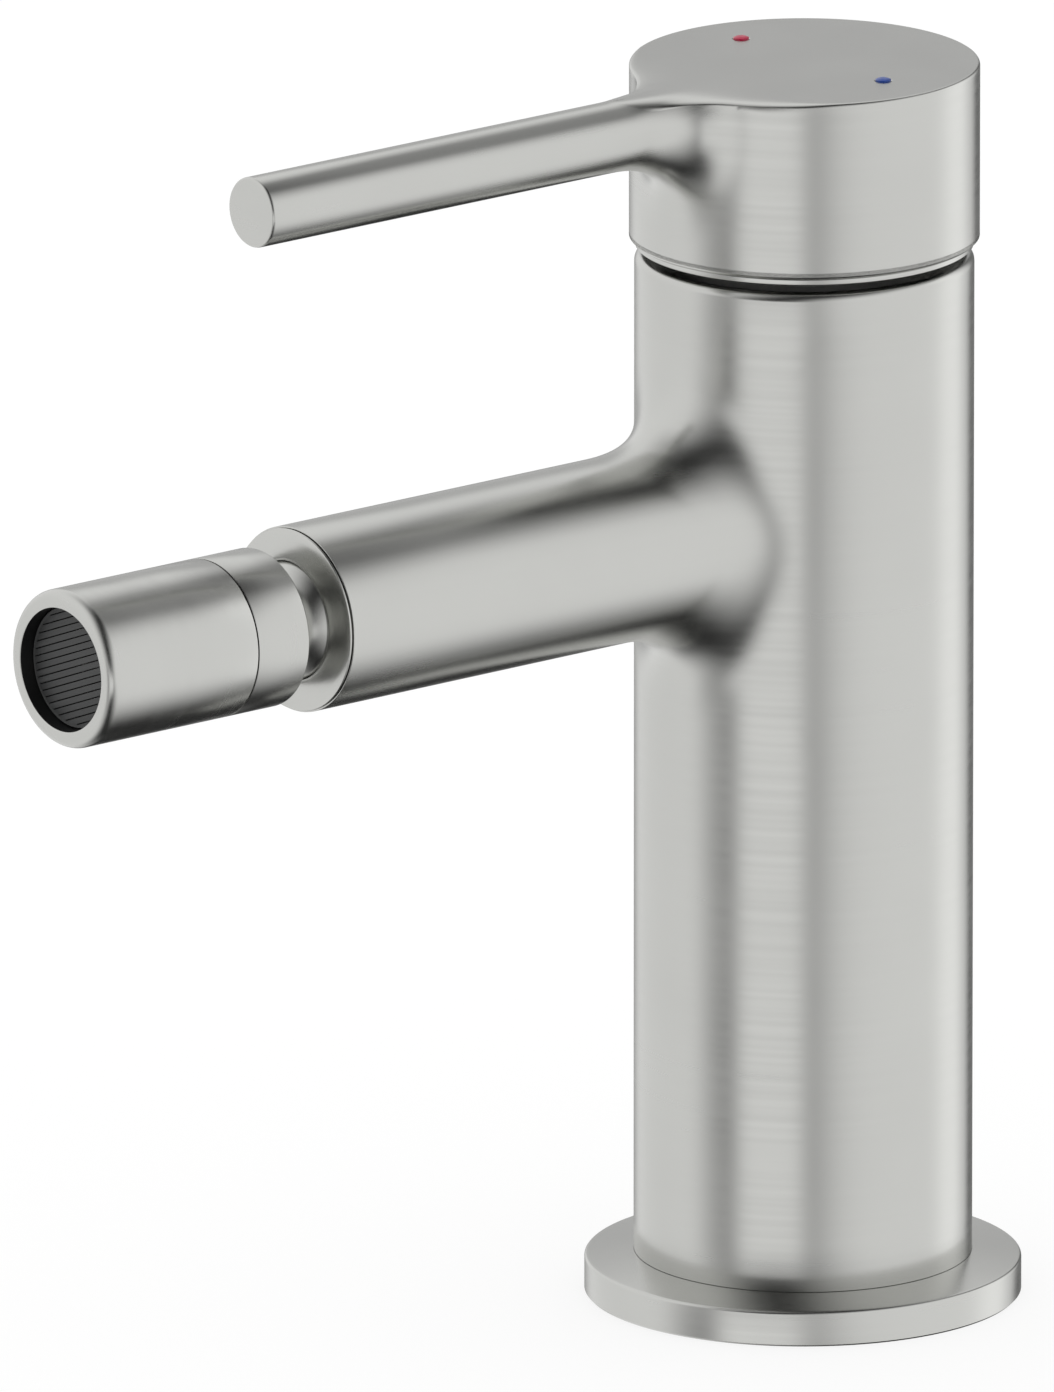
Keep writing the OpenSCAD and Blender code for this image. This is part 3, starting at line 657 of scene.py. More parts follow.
class MIXER_OT_body(bpy.types.Operator):
    """Model the one-piece casting of column and spout"""

    bl_idname = "mixer.body"
    bl_label = "Column and spout"

    # Window in the column's wall: its sides to either hand, its rows up and down, and the rows below it
    half_width = 23
    half_rows = 13
    row_pitch = 2.2 * MM
    plain_rows = (12 * MM, 30 * MM, 50 * MM, 66 * MM)
    fillet_steps = 26
    wall_steps = 8
    foot_ease = 0.06 * MM
    bevel = 0.3 * MM
    # Nut seat, inlets, feeds to the cartridge, riser to the spout and socket of the ball
    seat_height = 16.4 * MM
    lead_in = 0.5 * MM
    feed_radius = 1.6 * MM
    feed_x = 11 * MM
    feed_y = -8 * MM
    feed_depth = 2.1 * MM
    riser_y = -9 * MM
    bore_start = 7.5 * MM
    socket_start = 75.5 * MM
    socket_radius = 11 * MM
    bore_sides = 96
    thread_sides = 40
    feed_sides = 24
    # Boss of the fixing stud and the web that ties it to the wall
    boss_rise = 0.4 * MM
    boss_radius = 5.2 * MM
    boss_height = 16 * MM
    stud_radius = 3.4 * MM
    stud_depth = 15 * MM
    web_half = 3 * MM
    web_inset = 0.3 * MM
    web_end = 20.2 * MM

    def column(self, sizes):
        r, top, z, foot_z = sizes.column_radius, sizes.column_top, sizes.spout_z, sizes.foot_z
        low, foot_radius, ease = foot_z - sizes.foot_depth, sizes.foot_radius, self.foot_ease
        window = [z + self.row_pitch * k for k in range(-self.half_rows, self.half_rows + 1)]
        profile = [(foot_radius - self.bevel, low), (foot_radius, low + self.bevel)]
        profile += [(foot_radius, foot_z), (r - 2 * ease, foot_z)]
        profile += arc(r - ease, foot_z + ease, ease, -90, 0, 3)
        profile += [(r, height) for height in (*self.plain_rows, *window)]
        profile += arc(r - sizes.shoulder, top - sizes.shoulder, sizes.shoulder, 0, 90, 8)
        profile += [(r - sizes.shoulder - self.bevel, top)]
        return solid("column_and_spout", profile, sizes.sides)

    def spout(self, piece, sizes):
        """Opens a window in the column's wall and lays the spout and its fillet into it."""
        r, branch, z = sizes.column_radius, sizes.spout_radius, sizes.spout_z
        across, up = self.half_width, self.half_rows
        step = 2 * math.pi / sizes.sides
        wide, tall = across * step, up * self.row_pitch
        bm = open_wall(piece, r, lambda azimuth, height: abs(azimuth) < wide and abs(height - z) < tall)
        corners = [(i, -up) for i in range(-across, across)]
        corners += [(across, k) for k in range(-up, up)]
        corners += [(i, up) for i in range(across, -across, -1)]
        corners += [(-across, k) for k in range(up, -up, -1)]
        bare = [vert for vert in bm.verts if vert.is_boundary]
        rim = [near_vert(bare, on_wall(r, i * step, z + k * self.row_pitch)) for i, k in corners]
        angles = [math.atan2(k / up, i / across) for i, k in corners]
        curves = [fillet_curve(angle, r, branch, sizes.spout_fillet) for angle in angles]
        rows = []
        for k in range(self.fillet_steps + 1):
            rows.append([forward(on_curve(curve, k / self.fillet_steps), z) for curve in curves])
        contact = rows[-1]
        for k in range(1, self.wall_steps):
            rows.append([between(r, c, e.co, k / self.wall_steps) for c, e in zip(contact, rim)])
        tube = reach_out(rows[0], branch, z, sizes.spout_reach, sizes.spout_edge)
        laid = [add_row(bm, row) for row in tube + rows] + [rim]
        skin(bm, laid)
        bm.faces.new(laid[0])
        bmesh.update_edit_mesh(piece.data)
        bpy.ops.object.mode_set(mode="OBJECT")
        return tidy(piece)

    def inlet(self, sizes, side):
        """Cutter for the thread and the water way of one inlet."""
        thread, ceiling, top = sizes.inlet_radius, sizes.cavity_top, sizes.cavity_top + sizes.inlet_depth
        tool = solid("inlet", [
            (thread + self.lead_in, ceiling - OVER), (thread + self.lead_in, ceiling),
            (thread, ceiling + self.lead_in), (thread, top),
            (sizes.water_radius, top), (sizes.water_radius, sizes.chamber_z + OVER),
        ], self.thread_sides)
        tool.location = (side * sizes.inlet_x, sizes.inlet_y, 0)
        return settle(tool)

    def stud_boss(self, sizes):
        """Boss of the fixing stud, with its hole and the web behind it."""
        y, low = sizes.stud_y, sizes.foot_z + self.boss_rise
        boss = rod(self.boss_radius, (0, y, low), (0, y, low + self.boss_height))
        web_top = low + self.boss_height - self.web_inset
        join(boss, block((-self.web_half, y, low + self.web_inset), (self.web_half, self.web_end, web_top)))
        return cut(boss, rod(self.stud_radius, (0, y, low - OVER), (0, y, low + self.stud_depth)))

    def inside(self, piece, sizes):
        """Cuts the cavity, the chamber and the water ways, and adds the stud's boss."""
        z, floor = sizes.spout_z, sizes.chamber_z
        cut(piece, rod(sizes.cavity_radius, (0, 0, -OVER), (0, 0, sizes.cavity_top), self.bore_sides))
        seat = floor + self.seat_height
        cut(piece, solid("chamber", [
            (sizes.chamber_radius, floor), (sizes.chamber_radius, seat),
            (sizes.thread_radius, seat), (sizes.thread_radius, sizes.column_top + OVER),
        ], self.bore_sides))
        for side in (-1, 1):
            cut(piece, self.inlet(sizes, side))
            low, high = [(side * self.feed_x, self.feed_y, floor + rise) for rise in (-self.feed_depth, OVER)]
            cut(piece, rod(self.feed_radius, low, high, self.feed_sides))
        low, high = (0, self.riser_y, z), (0, self.riser_y, floor + OVER)
        cut(piece, rod(sizes.water_radius, low, high, self.thread_sides))
        bore = solid("bore", [
            (sizes.spout_bore, self.bore_start), (sizes.spout_bore, self.socket_start),
            (self.socket_radius, self.socket_start), (self.socket_radius, sizes.spout_reach + OVER),
        ], self.bore_sides)
        cut(piece, aim_forward(bore, z))
        join(piece, self.stud_boss(sizes))

    def execute(self, context):
        sizes = context.scene.mixer_body
        piece = self.spout(self.column(sizes), sizes)
        self.inside(piece, sizes)
        finish(tidy(piece), FINISHES["nickel_upright"], "root", "brushed_nickel", "body")
        return {"FINISHED"}


class MIXER_OT_flange(bpy.types.Operator):
    """Model the base flange"""

    bl_idname = "mixer.flange"
    bl_label = "Base flange"

    # Groove of the seal, counterbore of the column's foot, and the slope and the seam on top
    groove_inner = 23.95 * MM
    groove_outer = 27.05 * MM
    groove_depth = 1.6 * MM
    foot_gap = 0.1 * MM
    lower_bevel = 0.25 * MM
    edge_turn = 82
    edge_run = 0.3 * MM
    edge_rise = 0.05 * MM
    seam_out = 0.02 * MM
    seam_in = 0.1 * MM
    seam_drop = 0.03 * MM
    seam_depth = 0.12 * MM
    sides = 192

    def execute(self, context):
        sizes = context.scene.mixer_body
        r, rim, edge = sizes.flange_radius, sizes.flange_rim, sizes.flange_edge
        column, seam, hole = sizes.column_radius, sizes.foot_z, sizes.cavity_radius
        counter, ledge = sizes.foot_radius + self.foot_gap, seam - sizes.foot_depth - self.foot_gap
        profile = [(hole, 0), (self.groove_inner, 0), (self.groove_inner, self.groove_depth)]
        profile += [(self.groove_outer, self.groove_depth), (self.groove_outer, 0)]
        profile += [(r - self.lower_bevel, 0), (r, self.lower_bevel)]
        profile += arc(r - edge, rim - edge, edge, 0, self.edge_turn, 6)
        profile += [(r - edge - self.edge_run, rim + self.edge_rise)]
        profile += [(column + self.seam_out, seam - self.seam_drop)]
        profile += [(column - self.seam_in, seam - self.seam_depth), (counter, seam - self.seam_depth)]
        profile += [(counter, ledge), (hole, ledge)]
        piece = ring("base_flange_ring", profile, self.sides)
        finish(piece, FINISHES["nickel_upright"], "root", "brushed_nickel", "base_flange")
        return {"FINISHED"}


class MIXER_OT_trim(bpy.types.Operator):
    """Model the domed trim ring between the column and the cap"""

    bl_idname = "mixer.trim"
    bl_label = "Domed trim ring"

    # The dome is round about the lever's pivot
    pivot_z = 132.0 * MM
    dome_radius = 20.4 * MM
    dome_foot = 142.2 * MM
    dome_top = 144.6 * MM
    bore = 14.6 * MM
    bevel = 0.2 * MM
    foot_radius = 18.3 * MM
    foot_z = 140.5 * MM
    sides = 144

    def execute(self, context):
        low, high = [
            math.degrees(math.asin((height - self.pivot_z) / self.dome_radius))
            for height in (self.dome_foot, self.dome_top)
        ]
        profile = [(self.bore, self.foot_z)]
        profile += [(self.foot_radius, height) for height in (self.foot_z, self.dome_foot)]
        profile += arc(0, self.pivot_z, self.dome_radius, low, high, 8)
        profile += [(self.bore + self.bevel, self.dome_top), (self.bore, self.dome_top - self.bevel)]
        piece = ring("domed_trim_ring", profile, self.sides)
        finish(piece, FINISHES["steel"], "root", "dark_steel", "dome_ring")
        return {"FINISHED"}


class MIXER_OT_handle(bpy.types.Operator):
    """Model the cap and its lever in one casting"""

    bl_idname = "mixer.handle"
    bl_label = "Cap and lever"

    # Window in the cap's wall: its sides to either hand, its rows from the top, and the plain row below it
    half_width = 15
    rows = 15
    row_pitch = 1.5 * MM
    below_window = 1 * MM
    fillet_steps = 20
    wall_steps = 6
    top_steps = 40
    # Angles round the lever: of the window's lower corners, and the highest where the fillet can meet the top
    low_turn = math.radians(48)
    highest_turn = math.radians(40)
    # Angle round the lever in which the crown falls, and the azimuths round the cap where it ends and fades
    crown_turn = math.radians(20)
    crown_end = math.radians(62)
    crown_fade = math.radians(46)
    # Deepest fall of the crown, as a share of the height left over the lever's back
    deepest_fall = 0.7
    # Where the crown narrows to a point over the lever, as a share of the cap's radius, and how fast
    point_start = 0.6
    point_slope = 0.8
    least_turn = 0.2
    # Where the rows of the rounding lie along its curve, and where the flat starts, in widths of the rounding
    round_parts = (0.08, 0.18, 0.32, 0.5, 0.7, 0.88, 1.0)
    flat_start = 1.2
    on_edge = 0.01 * MM
    # Inside of the cap; the boss covers the hole in its ceiling
    ceiling_hole = 4 * MM
    ceiling_round = 0.8 * MM
    ceiling_run = 1.2 * MM
    rim_slope = 0.7 * MM
    rim_bevel = 0.1 * MM
    boss_bevel = 0.3 * MM
    boss_overlap = 0.5 * MM
    rib_half = 4 * MM
    rib_rise = 1 * MM
    pocket_half = 4.05 * MM
    pocket_depth = 11.1 * MM
    grub_radius = 2.5 * MM
    plug_depth = 2.8 * MM
    # Countersink round each mark
    sink_width = 0.3 * MM
    sink_depth = 0.12 * MM
    sink_over = 0.13 * MM

    def cap(self, sizes):
        r, low, edge, bore = sizes.cap_radius, sizes.cap_z, sizes.edge, sizes.bore_radius
        ceiling, rim, rim_top = sizes.ceiling_z, sizes.rim_radius, low + sizes.rim_height
        ease, turn_in = sizes.foot_round, math.degrees(sizes.foot_turn)
        profile = [(self.ceiling_hole, ceiling), (bore - self.ceiling_run, ceiling)]
        profile += arc(bore - self.ceiling_round, ceiling - self.ceiling_round, self.ceiling_round, 90, 0, 4)
        profile += [(bore, rim_top + self.rim_slope), (rim, rim_top)]
        profile += [(rim, low + self.rim_bevel), (rim + self.rim_bevel, low)]
        lip_radius = r - ease * (1 - math.cos(sizes.foot_turn))
        lip_top = low + sizes.lip_height
        profile += [(lip_radius - FINE, low), (lip_radius, low + FINE)]
        profile += arc(r - ease, lip_top + ease * math.sin(sizes.foot_turn), ease, -turn_in, 0, 12)
        start = sizes.cap_top - self.rows * self.row_pitch
        profile += [(r, start - self.below_window)]
        profile += [(r, start + self.row_pitch * k) for k in range(self.rows)]
        profile += [(r, sizes.cap_top - edge)]
        return turned("cap_and_lever", profile, sizes.sides)

    def meets_top(self, sizes):
        """Angle round the lever at which its fillet ends at the lower side of the cap's top edge."""
        def end_height(angle):
            return fillet_curve(angle, sizes.cap_radius, sizes.lever_radius, sizes.lever_fillet)[3].y

        level = sizes.cap_top - sizes.edge - sizes.lever_z
        return last_below(end_height, level, 0.0, self.highest_turn)

    def window_angles(self, corners, top_angle, start, end):
        """Angles round the lever for the window's corners: down one side, along its foot and up the other."""
        low_sine, high_sine = -math.sin(self.low_turn), math.sin(top_angle)
        angles = []
        for i, height in corners:
            if abs(i) == self.half_width:
                part = (height - start) / (end - start)
                angle = math.asin(low_sine + (high_sine - low_sine) * part)
                angles.append(angle if i > 0 else math.pi - angle)
            else:
                angles.append(-math.acos(math.cos(self.low_turn) * i / self.half_width))
        return angles

    def lever(self, piece, sizes):
        """Opens a window in the cap's wall, lays the lever and its fillet into it and closes the top."""
        r, branch, z, edge = sizes.cap_radius, sizes.lever_radius, sizes.lever_z, sizes.edge
        across, level = self.half_width, sizes.cap_top - sizes.lever_z
        step = 2 * math.pi / sizes.sides
        wide, start = across * step, sizes.cap_top - self.rows * self.row_pitch
        bm = open_wall(piece, r, lambda azimuth, height: abs(azimuth) < wide and height > start)
        heights = [sizes.cap_top - edge] + [start + self.row_pitch * k for k in range(self.rows - 1, -1, -1)]
        corners = [(-across, height) for height in heights]
        corners += [(i, start) for i in range(1 - across, across)]
        corners += [(across, height) for height in reversed(heights)]
        bare = [vert for vert in bm.verts if vert.is_boundary]
        rim = [near_vert(bare, on_wall(r, i * step, height)) for i, height in corners]
        top_angle = self.meets_top(sizes)
        angles = self.window_angles(corners, top_angle, start, heights[0])
        below, span = len(angles), math.pi - 2 * top_angle
        angles += [top_angle + span * k / self.top_steps for k in range(1, self.top_steps)]
        curves = [fillet_curve(angle, r, branch, sizes.lever_fillet) for angle in angles]
        crossings = [forward(on_curve(curve, rise_to(curve, level)), z) for curve in curves[below:]]
        ends = [1.0] * below
        for angle, curve in zip(angles[below:], curves[below:]):
            turned_up = min(angle, math.pi - angle) - top_angle
            fall = edge + (sizes.crown_fall - edge) * soft_step(turned_up / self.crown_turn)
            deepest = self.deepest_fall * (level - branch * math.sin(angle))
            ends.append(rise_to(curve, level - min(fall, deepest)))
        rows = []
        for k in range(self.fillet_steps + 1):
            part = k / self.fillet_steps
            rows.append([forward(on_curve(curve, end * part), z) for curve, end in zip(curves, ends)])
        tube = reach_out(rows[0], branch, z, sizes.lever_reach, sizes.tip_round)
        laid = [add_row(bm, row) for row in tube + rows]
        skin(bm, laid)
        bm.faces.new(laid[0])
        contact = laid[-1][:below]
        walls = [contact]
        for k in range(1, self.wall_steps):
            part = k / self.wall_steps
            walls.append(add_row(bm, [between(r, c.co, e.co, part) for c, e in zip(contact, rim)]))
        walls.append(rim)
        skin(bm, walls, closed=False)
        self.close_top(bm, sizes, laid[-1][below:], walls, crossings, step)
        bmesh.update_edit_mesh(piece.data)
        bpy.ops.object.mode_set(mode="OBJECT")
        return tidy(piece)

    def close_top(self, bm, sizes, last, walls, crossings, step):
        """Rounds the edge of the flat top, all the way round from one side of the lever, and fills it."""
        r, top, edge = sizes.cap_radius, sizes.cap_top, sizes.edge
        low = top - edge
        bare = [v for v in bm.verts if v.is_boundary and abs(v.co.z - low) < self.on_edge]
        ring_verts = [
            near_vert(bare, on_wall(r, i * step, low))
            for i in range(self.half_width, sizes.sides - self.half_width + 1)
        ]
        ring_verts += [row[0] for row in reversed(walls[:-1])]
        other_side = [row[-1] for row in walls[:-1]]
        sharp = [v.co for v in ring_verts] + list(reversed(crossings)) + [v.co for v in other_side]
        sharp = [Vector((p.x, p.y, top)) for p in sharp]
        ring_verts += list(reversed(last)) + other_side
        inward, width = [], []
        for i, point in enumerate(sharp):
            along = sharp[(i + 1) % len(sharp)] - sharp[i - 1]
            inward.append(Vector((-along.y, along.x, 0)).normalized())
            near = soft_step((self.crown_end - abs(wall_place(point)[0])) / self.crown_fade)
            soft = edge + (sizes.crown - edge) * near
            if point.y < -self.point_start * r:
                across = max(abs(inward[-1].x), self.least_turn)
                soft = min(soft, FINE + self.point_slope * abs(point.x) / across)
            width.append(soft)
        rows = [ring_verts]
        for part in self.round_parts:
            rows.append(add_row(bm, [
                (1 - part) ** 2 * v.co + 2 * part * (1 - part) * p + part ** 2 * (p + w * n)
                for v, p, n, w in zip(ring_verts, sharp, inward, width)
            ]))
        rows.append(add_row(bm, [p + self.flat_start * w * n for p, n, w in zip(sharp, inward, width)]))
        skin(bm, rows)
        bm.faces.new(rows[-1])

    def inside(self, piece, sizes):
        """Adds the boss and the rib, and cuts the stem's pocket and the holes."""
        foot, roof, boss_r = sizes.boss_z, sizes.ceiling_z + self.boss_overlap, sizes.boss_radius
        profile = [(boss_r - self.boss_bevel, foot), (boss_r, foot + self.boss_bevel), (boss_r, roof)]
        boss = solid("boss", profile, 64)
        wall = sizes.bore_radius + self.boss_overlap
        join(boss, block((-self.rib_half, 0, foot + self.rib_rise), (self.rib_half, wall, roof)))
        join(piece, boss)
        half = self.pocket_half
        cut(piece, block((-half, -half, foot - OVER), (half, half, foot + self.pocket_depth)))
        back, z = (0, sizes.cap_radius + OVER, sizes.grub_z), sizes.grub_z
        cut(piece, rod(self.grub_radius, (0, 0, z), back))
        cut(piece, rod(sizes.plug_radius + FINE, (0, sizes.cap_radius - self.plug_depth, z), back, 64))
        hole_r, top = sizes.mark_radius + FINE, sizes.cap_top
        for side in (-1, 1):
            hole = solid("mark_hole", [
                (hole_r, top - sizes.mark_depth), (hole_r, top - self.sink_depth),
                (sizes.mark_radius + self.sink_width, top + self.sink_over),
            ], 48)
            hole.location = (side * sizes.mark_x, sizes.mark_y, 0)
            cut(piece, settle(hole))

    def execute(self, context):
        sizes = context.scene.mixer_handle
        piece = self.lever(self.cap(sizes), sizes)
        self.inside(piece, sizes)
        finish(tidy(piece), FINISHES["nickel_upright"], "lever", "brushed_nickel", "handle")
        return {"FINISHED"}


class MIXER_OT_inlays(bpy.types.Operator):
    """Model the plug at the back of the cap and the hot and cold marks"""

    bl_idname = "mixer.inlays"
    bl_label = "Plug and marks"

    # Share of a mark's rise that is an upright side; the rest is its dome
    side_share = 0.4
    dome_end = 86
    plug_inset = 0.25 * MM
    plug_length = 2.5 * MM
    plug_round = 0.5 * MM
    plug_turn = 15
    sides = 48

    def mark(self, sizes, name, side):
        r, rise, top = sizes.mark_radius, sizes.mark_rise, sizes.cap_top
        side_rise = self.side_share * rise
        dome = rise - side_rise
        crown = (r * r + dome * dome) / (2 * dome)
        open_angle = math.degrees(math.asin(r / crown))
        profile = [(r, top - sizes.mark_depth), (r, top + side_rise)]
        profile += arc(0, top + rise - crown, crown, 90 - open_angle, self.dome_end, 9)
        piece = solid(name, profile, self.sides)
        piece.location = (side * sizes.mark_x, sizes.mark_y, 0)
        return settle(piece)

    def execute(self, context):
        sizes = context.scene.mixer_handle
        hot, cold = self.mark(sizes, "hot_inlay", -1), self.mark(sizes, "cold_inlay", 1)
        finish(hot, FINISHES["hot"], "lever", "hot_red", "hot_mark", angle=50)
        finish(cold, FINISHES["cold"], "lever", "cold_blue", "cold_mark", angle=50)
        r, ease, outer = sizes.plug_radius, self.plug_round, sizes.cap_radius - self.plug_inset
        profile = [(r, outer - self.plug_length), (r, outer - ease)]
        profile += arc(r - ease, outer - ease, ease, self.plug_turn, 90, 4)
        plug = solid("grub_screw_plug", profile, self.sides)
        plug.rotation_euler = (-math.pi / 2, 0, 0)
        plug.location = (0, 0, sizes.grub_z)
        finish(settle(plug), FINISHES["nickel_forward"], "lever", "brushed_nickel", "screw_plug")
        return {"FINISHED"}


class MIXER_OT_nozzle(bpy.types.Operator):
    """Model the socket ring, the ball with its collar, and the sleeve"""

    bl_idname = "mixer.nozzle"
    bl_label = "Ball joint and sleeve"

    sides = 128
    # Socket ring: its thread, the open seam at the spout's end, the flange and the lip round the ball
    thread_bore = 10 * MM
    thread_radius = 10.95 * MM
    thread_start = 79.4 * MM
    flange_gap = 0.02 * MM
    open_seam = 0.2 * MM
    open_depth = 0.5 * MM
    rim_bevel = 0.04 * MM
    flange_height = 1 * MM
    # Rounding of the flange's rim into its face
    rim_drop = 0.08 * MM
    rim_lift = 0.02 * MM
    rim_round = 0.2 * MM
    rim_share = 0.88
    # Across the face: millimetres from the axis, and the share of the fall that is reached there
    # Along the lip: millimetres in from the ball's radius, and millimetres behind the lip
    face_points = ((11.0, 0.6), (10.0, 0.3), (9.2, 0.08))
    lip_points = ((0.45, 0.0), (0.75, 0.02), (0.95, 0.12), (1.05, 0.3), (0.6, 1.1))
    # Ball and collar: the flat behind the ball, its bore, the neck's root and the spigot in the sleeve
    ball_back = 7 * MM
    ball_bore = 3.6 * MM
    collar_round = 0.35 * MM
    root_points = ((0.0, 0.4), (0.12, 0.12), (0.4, 0.0))
    spigot_radius = 8.7 * MM
    spigot_length = 6.4 * MM
    spigot_bevel = 0.3 * MM
    spigot_bore = 6.2 * MM
    bore_floor = 4.35 * MM
    # Millimetres in from the outside and off the seam's middle, for both of its edges
    seam_points = ((0.0, 0.28), (0.06, 0.12), (0.2, 0.1))
    # Sleeve: its shoulder, its plain rows, the bore for the spigot and the rim of the mouth
    shoulder_bore = 6.5 * MM
    shoulder_y = 7.5 * MM
    shoulder_depth = 1.1 * MM
    sleeve_bore = 8.75 * MM
    plain_rows = (9 * MM, 17 * MM)
    mouth_points = ((0.45, 0.0), (0.2, 0.0), (0.05, 0.06), (0.0, 0.25))
    bore_margin = 0.04 * MM
    bore_start = 0.1 * MM

    def socket_ring(self, sizes, reach):
        r, ball, fall, bore = sizes.ring_radius, sizes.ball_radius, sizes.ring_fall, self.thread_bore
        lip, low, seam = reach + self.flange_height, reach + self.flange_gap, reach + self.open_seam
        profile = [(bore, self.thread_start)]
        profile += [(self.thread_radius, self.thread_start), (self.thread_radius, low)]
        profile += [(r - self.open_depth, low), (r - self.open_depth, seam)]
        profile += [(r - self.rim_bevel, seam), (r, seam + self.rim_bevel)]
        profile += [(r, lip - fall - self.rim_drop), (r - FINE, lip - fall + self.rim_lift)]
        profile += [(r - self.rim_round, lip - self.rim_share * fall)]
        profile += [(wide * MM, lip - part * fall) for wide, part in self.face_points]
        profile += [(ball - inset * MM, lip - depth * MM) for inset, depth in self.lip_points]
        profile += [(bore, lip - self.lip_points[-1][1] * MM)]
        return ring("spout_end_ring", profile, self.sides)

    def seam_edge(self, sizes, way):
        """Edge at the seam from the outside in; way is -1 on the collar and 1 on the sleeve."""
        r, seam = sizes.nozzle_radius, sizes.seam_y
        return [(r - inset * MM, seam + way * off * MM) for inset, off in self.seam_points]

    def ball_and_collar(self, sizes):
        r, ball, neck, ease = sizes.nozzle_radius, sizes.ball_radius, sizes.neck_radius, self.collar_round
        collar, seam, spigot = sizes.collar_y, sizes.seam_y, self.spigot_radius
        back, front = -math.degrees(math.asin(self.ball_back / ball)), math.degrees(math.acos(neck / ball))
        profile = [(self.ball_bore, sizes.ball_y - self.ball_back)]
        profile += arc(0, sizes.ball_y, ball, back, front, 32)
        profile += [(neck + out * MM, collar - off * MM) for out, off in self.root_points]
        profile += arc(r - ease, collar + ease, ease, -90, 0, 4)
        profile += self.seam_edge(sizes, -1)
        tip, floor = seam + self.spigot_length, collar + self.bore_floor
        profile += [(spigot, profile[-1][1]), (spigot, tip - self.spigot_bevel)]
        profile += [(spigot - self.spigot_bevel, tip)]
        profile += [(self.spigot_bore, tip), (self.spigot_bore, floor), (self.ball_bore, floor)]
        return ring("ball_and_collar", profile, self.sides)

    def sleeve(self, sizes):
        r, hole, edge, mouth = sizes.nozzle_radius, sizes.mouth_radius, sizes.mouth_round, sizes.mouth_y
        shoulder, bore, seam_edge = sizes.seam_y + self.shoulder_y, self.sleeve_bore, self.seam_edge(sizes, 1)
        profile = [(self.shoulder_bore, shoulder), (bore, shoulder), (bore, seam_edge[-1][1])]
        profile += list(reversed(seam_edge))
        profile += [(r, sizes.seam_y + row) for row in self.plain_rows]
        profile += arc(r - edge, mouth - edge, edge, 0, 90, 8)
        profile += [(hole + out * MM, mouth - depth * MM) for out, depth in self.mouth_points]
        inner = shoulder + self.shoulder_depth
        profile += [(hole, inner), (self.shoulder_bore, inner)]
        return ring("nozzle_sleeve", profile, self.sides)

    def paint_shade_into_bore(self, piece, sizes, z):
        """Paints shade into the bore behind the mouth, as a near-black finish on its faces."""
        piece.data.materials.append(FINISHES["bore_painted_shade"])
        widest, foremost = sizes.mouth_radius + self.bore_margin, sizes.mouth_y - self.bore_start
        for face in piece.data.polygons:
            middle = face.center
            if math.hypot(middle.x, middle.z - z) < widest and -middle.y < foremost:
                face.material_index = 1

    def execute(self, context):
        sizes, body = context.scene.mixer_nozzle, context.scene.mixer_body
        z, nickel, slot = body.spout_z, FINISHES["nickel_forward"], "brushed_nickel"
        piece = aim_forward(self.socket_ring(sizes, body.spout_reach), z)
        finish(piece, nickel, "root", slot, "socket_ring")
        piece = aim_forward(self.ball_and_collar(sizes), z)
        finish(piece, nickel, "nozzle", slot, "swivel_ball", angle=35)
        piece = aim_forward(self.sleeve(sizes), z)
        finish(piece, nickel, "nozzle", slot, "aerator_housing", angle=35)
        # Paints shade into the bore behind the mouth with the near-black finish
        self.paint_shade_into_bore(piece, sizes, z)
        return {"FINISHED"}


class MIXER_OT_aerator(bpy.types.Operator):
    """Model the slotted face of the recessed aerator"""

    bl_idname = "mixer.aerator"
    bl_label = "Aerator face"

    side_gap = 0.1 * MM
    thickness = 1 * MM
    bevel = 0.15 * MM
    # Step from the rim down to the slotted field
    step_start = 0.3 * MM
    step_end = 0.1 * MM
    step_depth = 0.08 * MM
    least_chord = 0.8 * MM
    cutter_over = 0.5 * MM
    sides = 96

    def execute(self, context):
        sizes, body = context.scene.mixer_nozzle, context.scene.mixer_body
        outer, field, bevel = sizes.mouth_radius - self.side_gap, sizes.slot_field, self.bevel
        front = sizes.mouth_y - sizes.face_recess
        back = front - self.thickness
        profile = [(outer, back), (outer, front - bevel), (outer - bevel, front)]
        profile += [(field + self.step_start, front), (field + self.step_end, front - self.step_depth)]
        face = solid("aerator_face", profile, self.sides)
        rows, half = int(field / sizes.slot_pitch), sizes.slot_width / 2
        low, high = back - self.cutter_over, front + self.cutter_over
        slots = []
        for i in range(-rows, rows + 1):
            y = i * sizes.slot_pitch
            chord = math.sqrt(max(field * field - (abs(y) + half) ** 2, 0.0))
            if chord >= self.least_chord:
                slots.append(block((-chord, y - half, low), (chord, y + half, high)))
        activate(slots[0])
        for slot in slots:
            slot.select_set(True)
        bpy.ops.object.join()
        cut(face, slots[0])
        face.rotation_euler = (0, 0, sizes.slot_turn)
        face = aim_forward(settle(face), body.spout_z)
        finish(tidy(face), FINISHES["screen"], "nozzle", "grey_plastic", "aerator_screen")
        return {"FINISHED"}


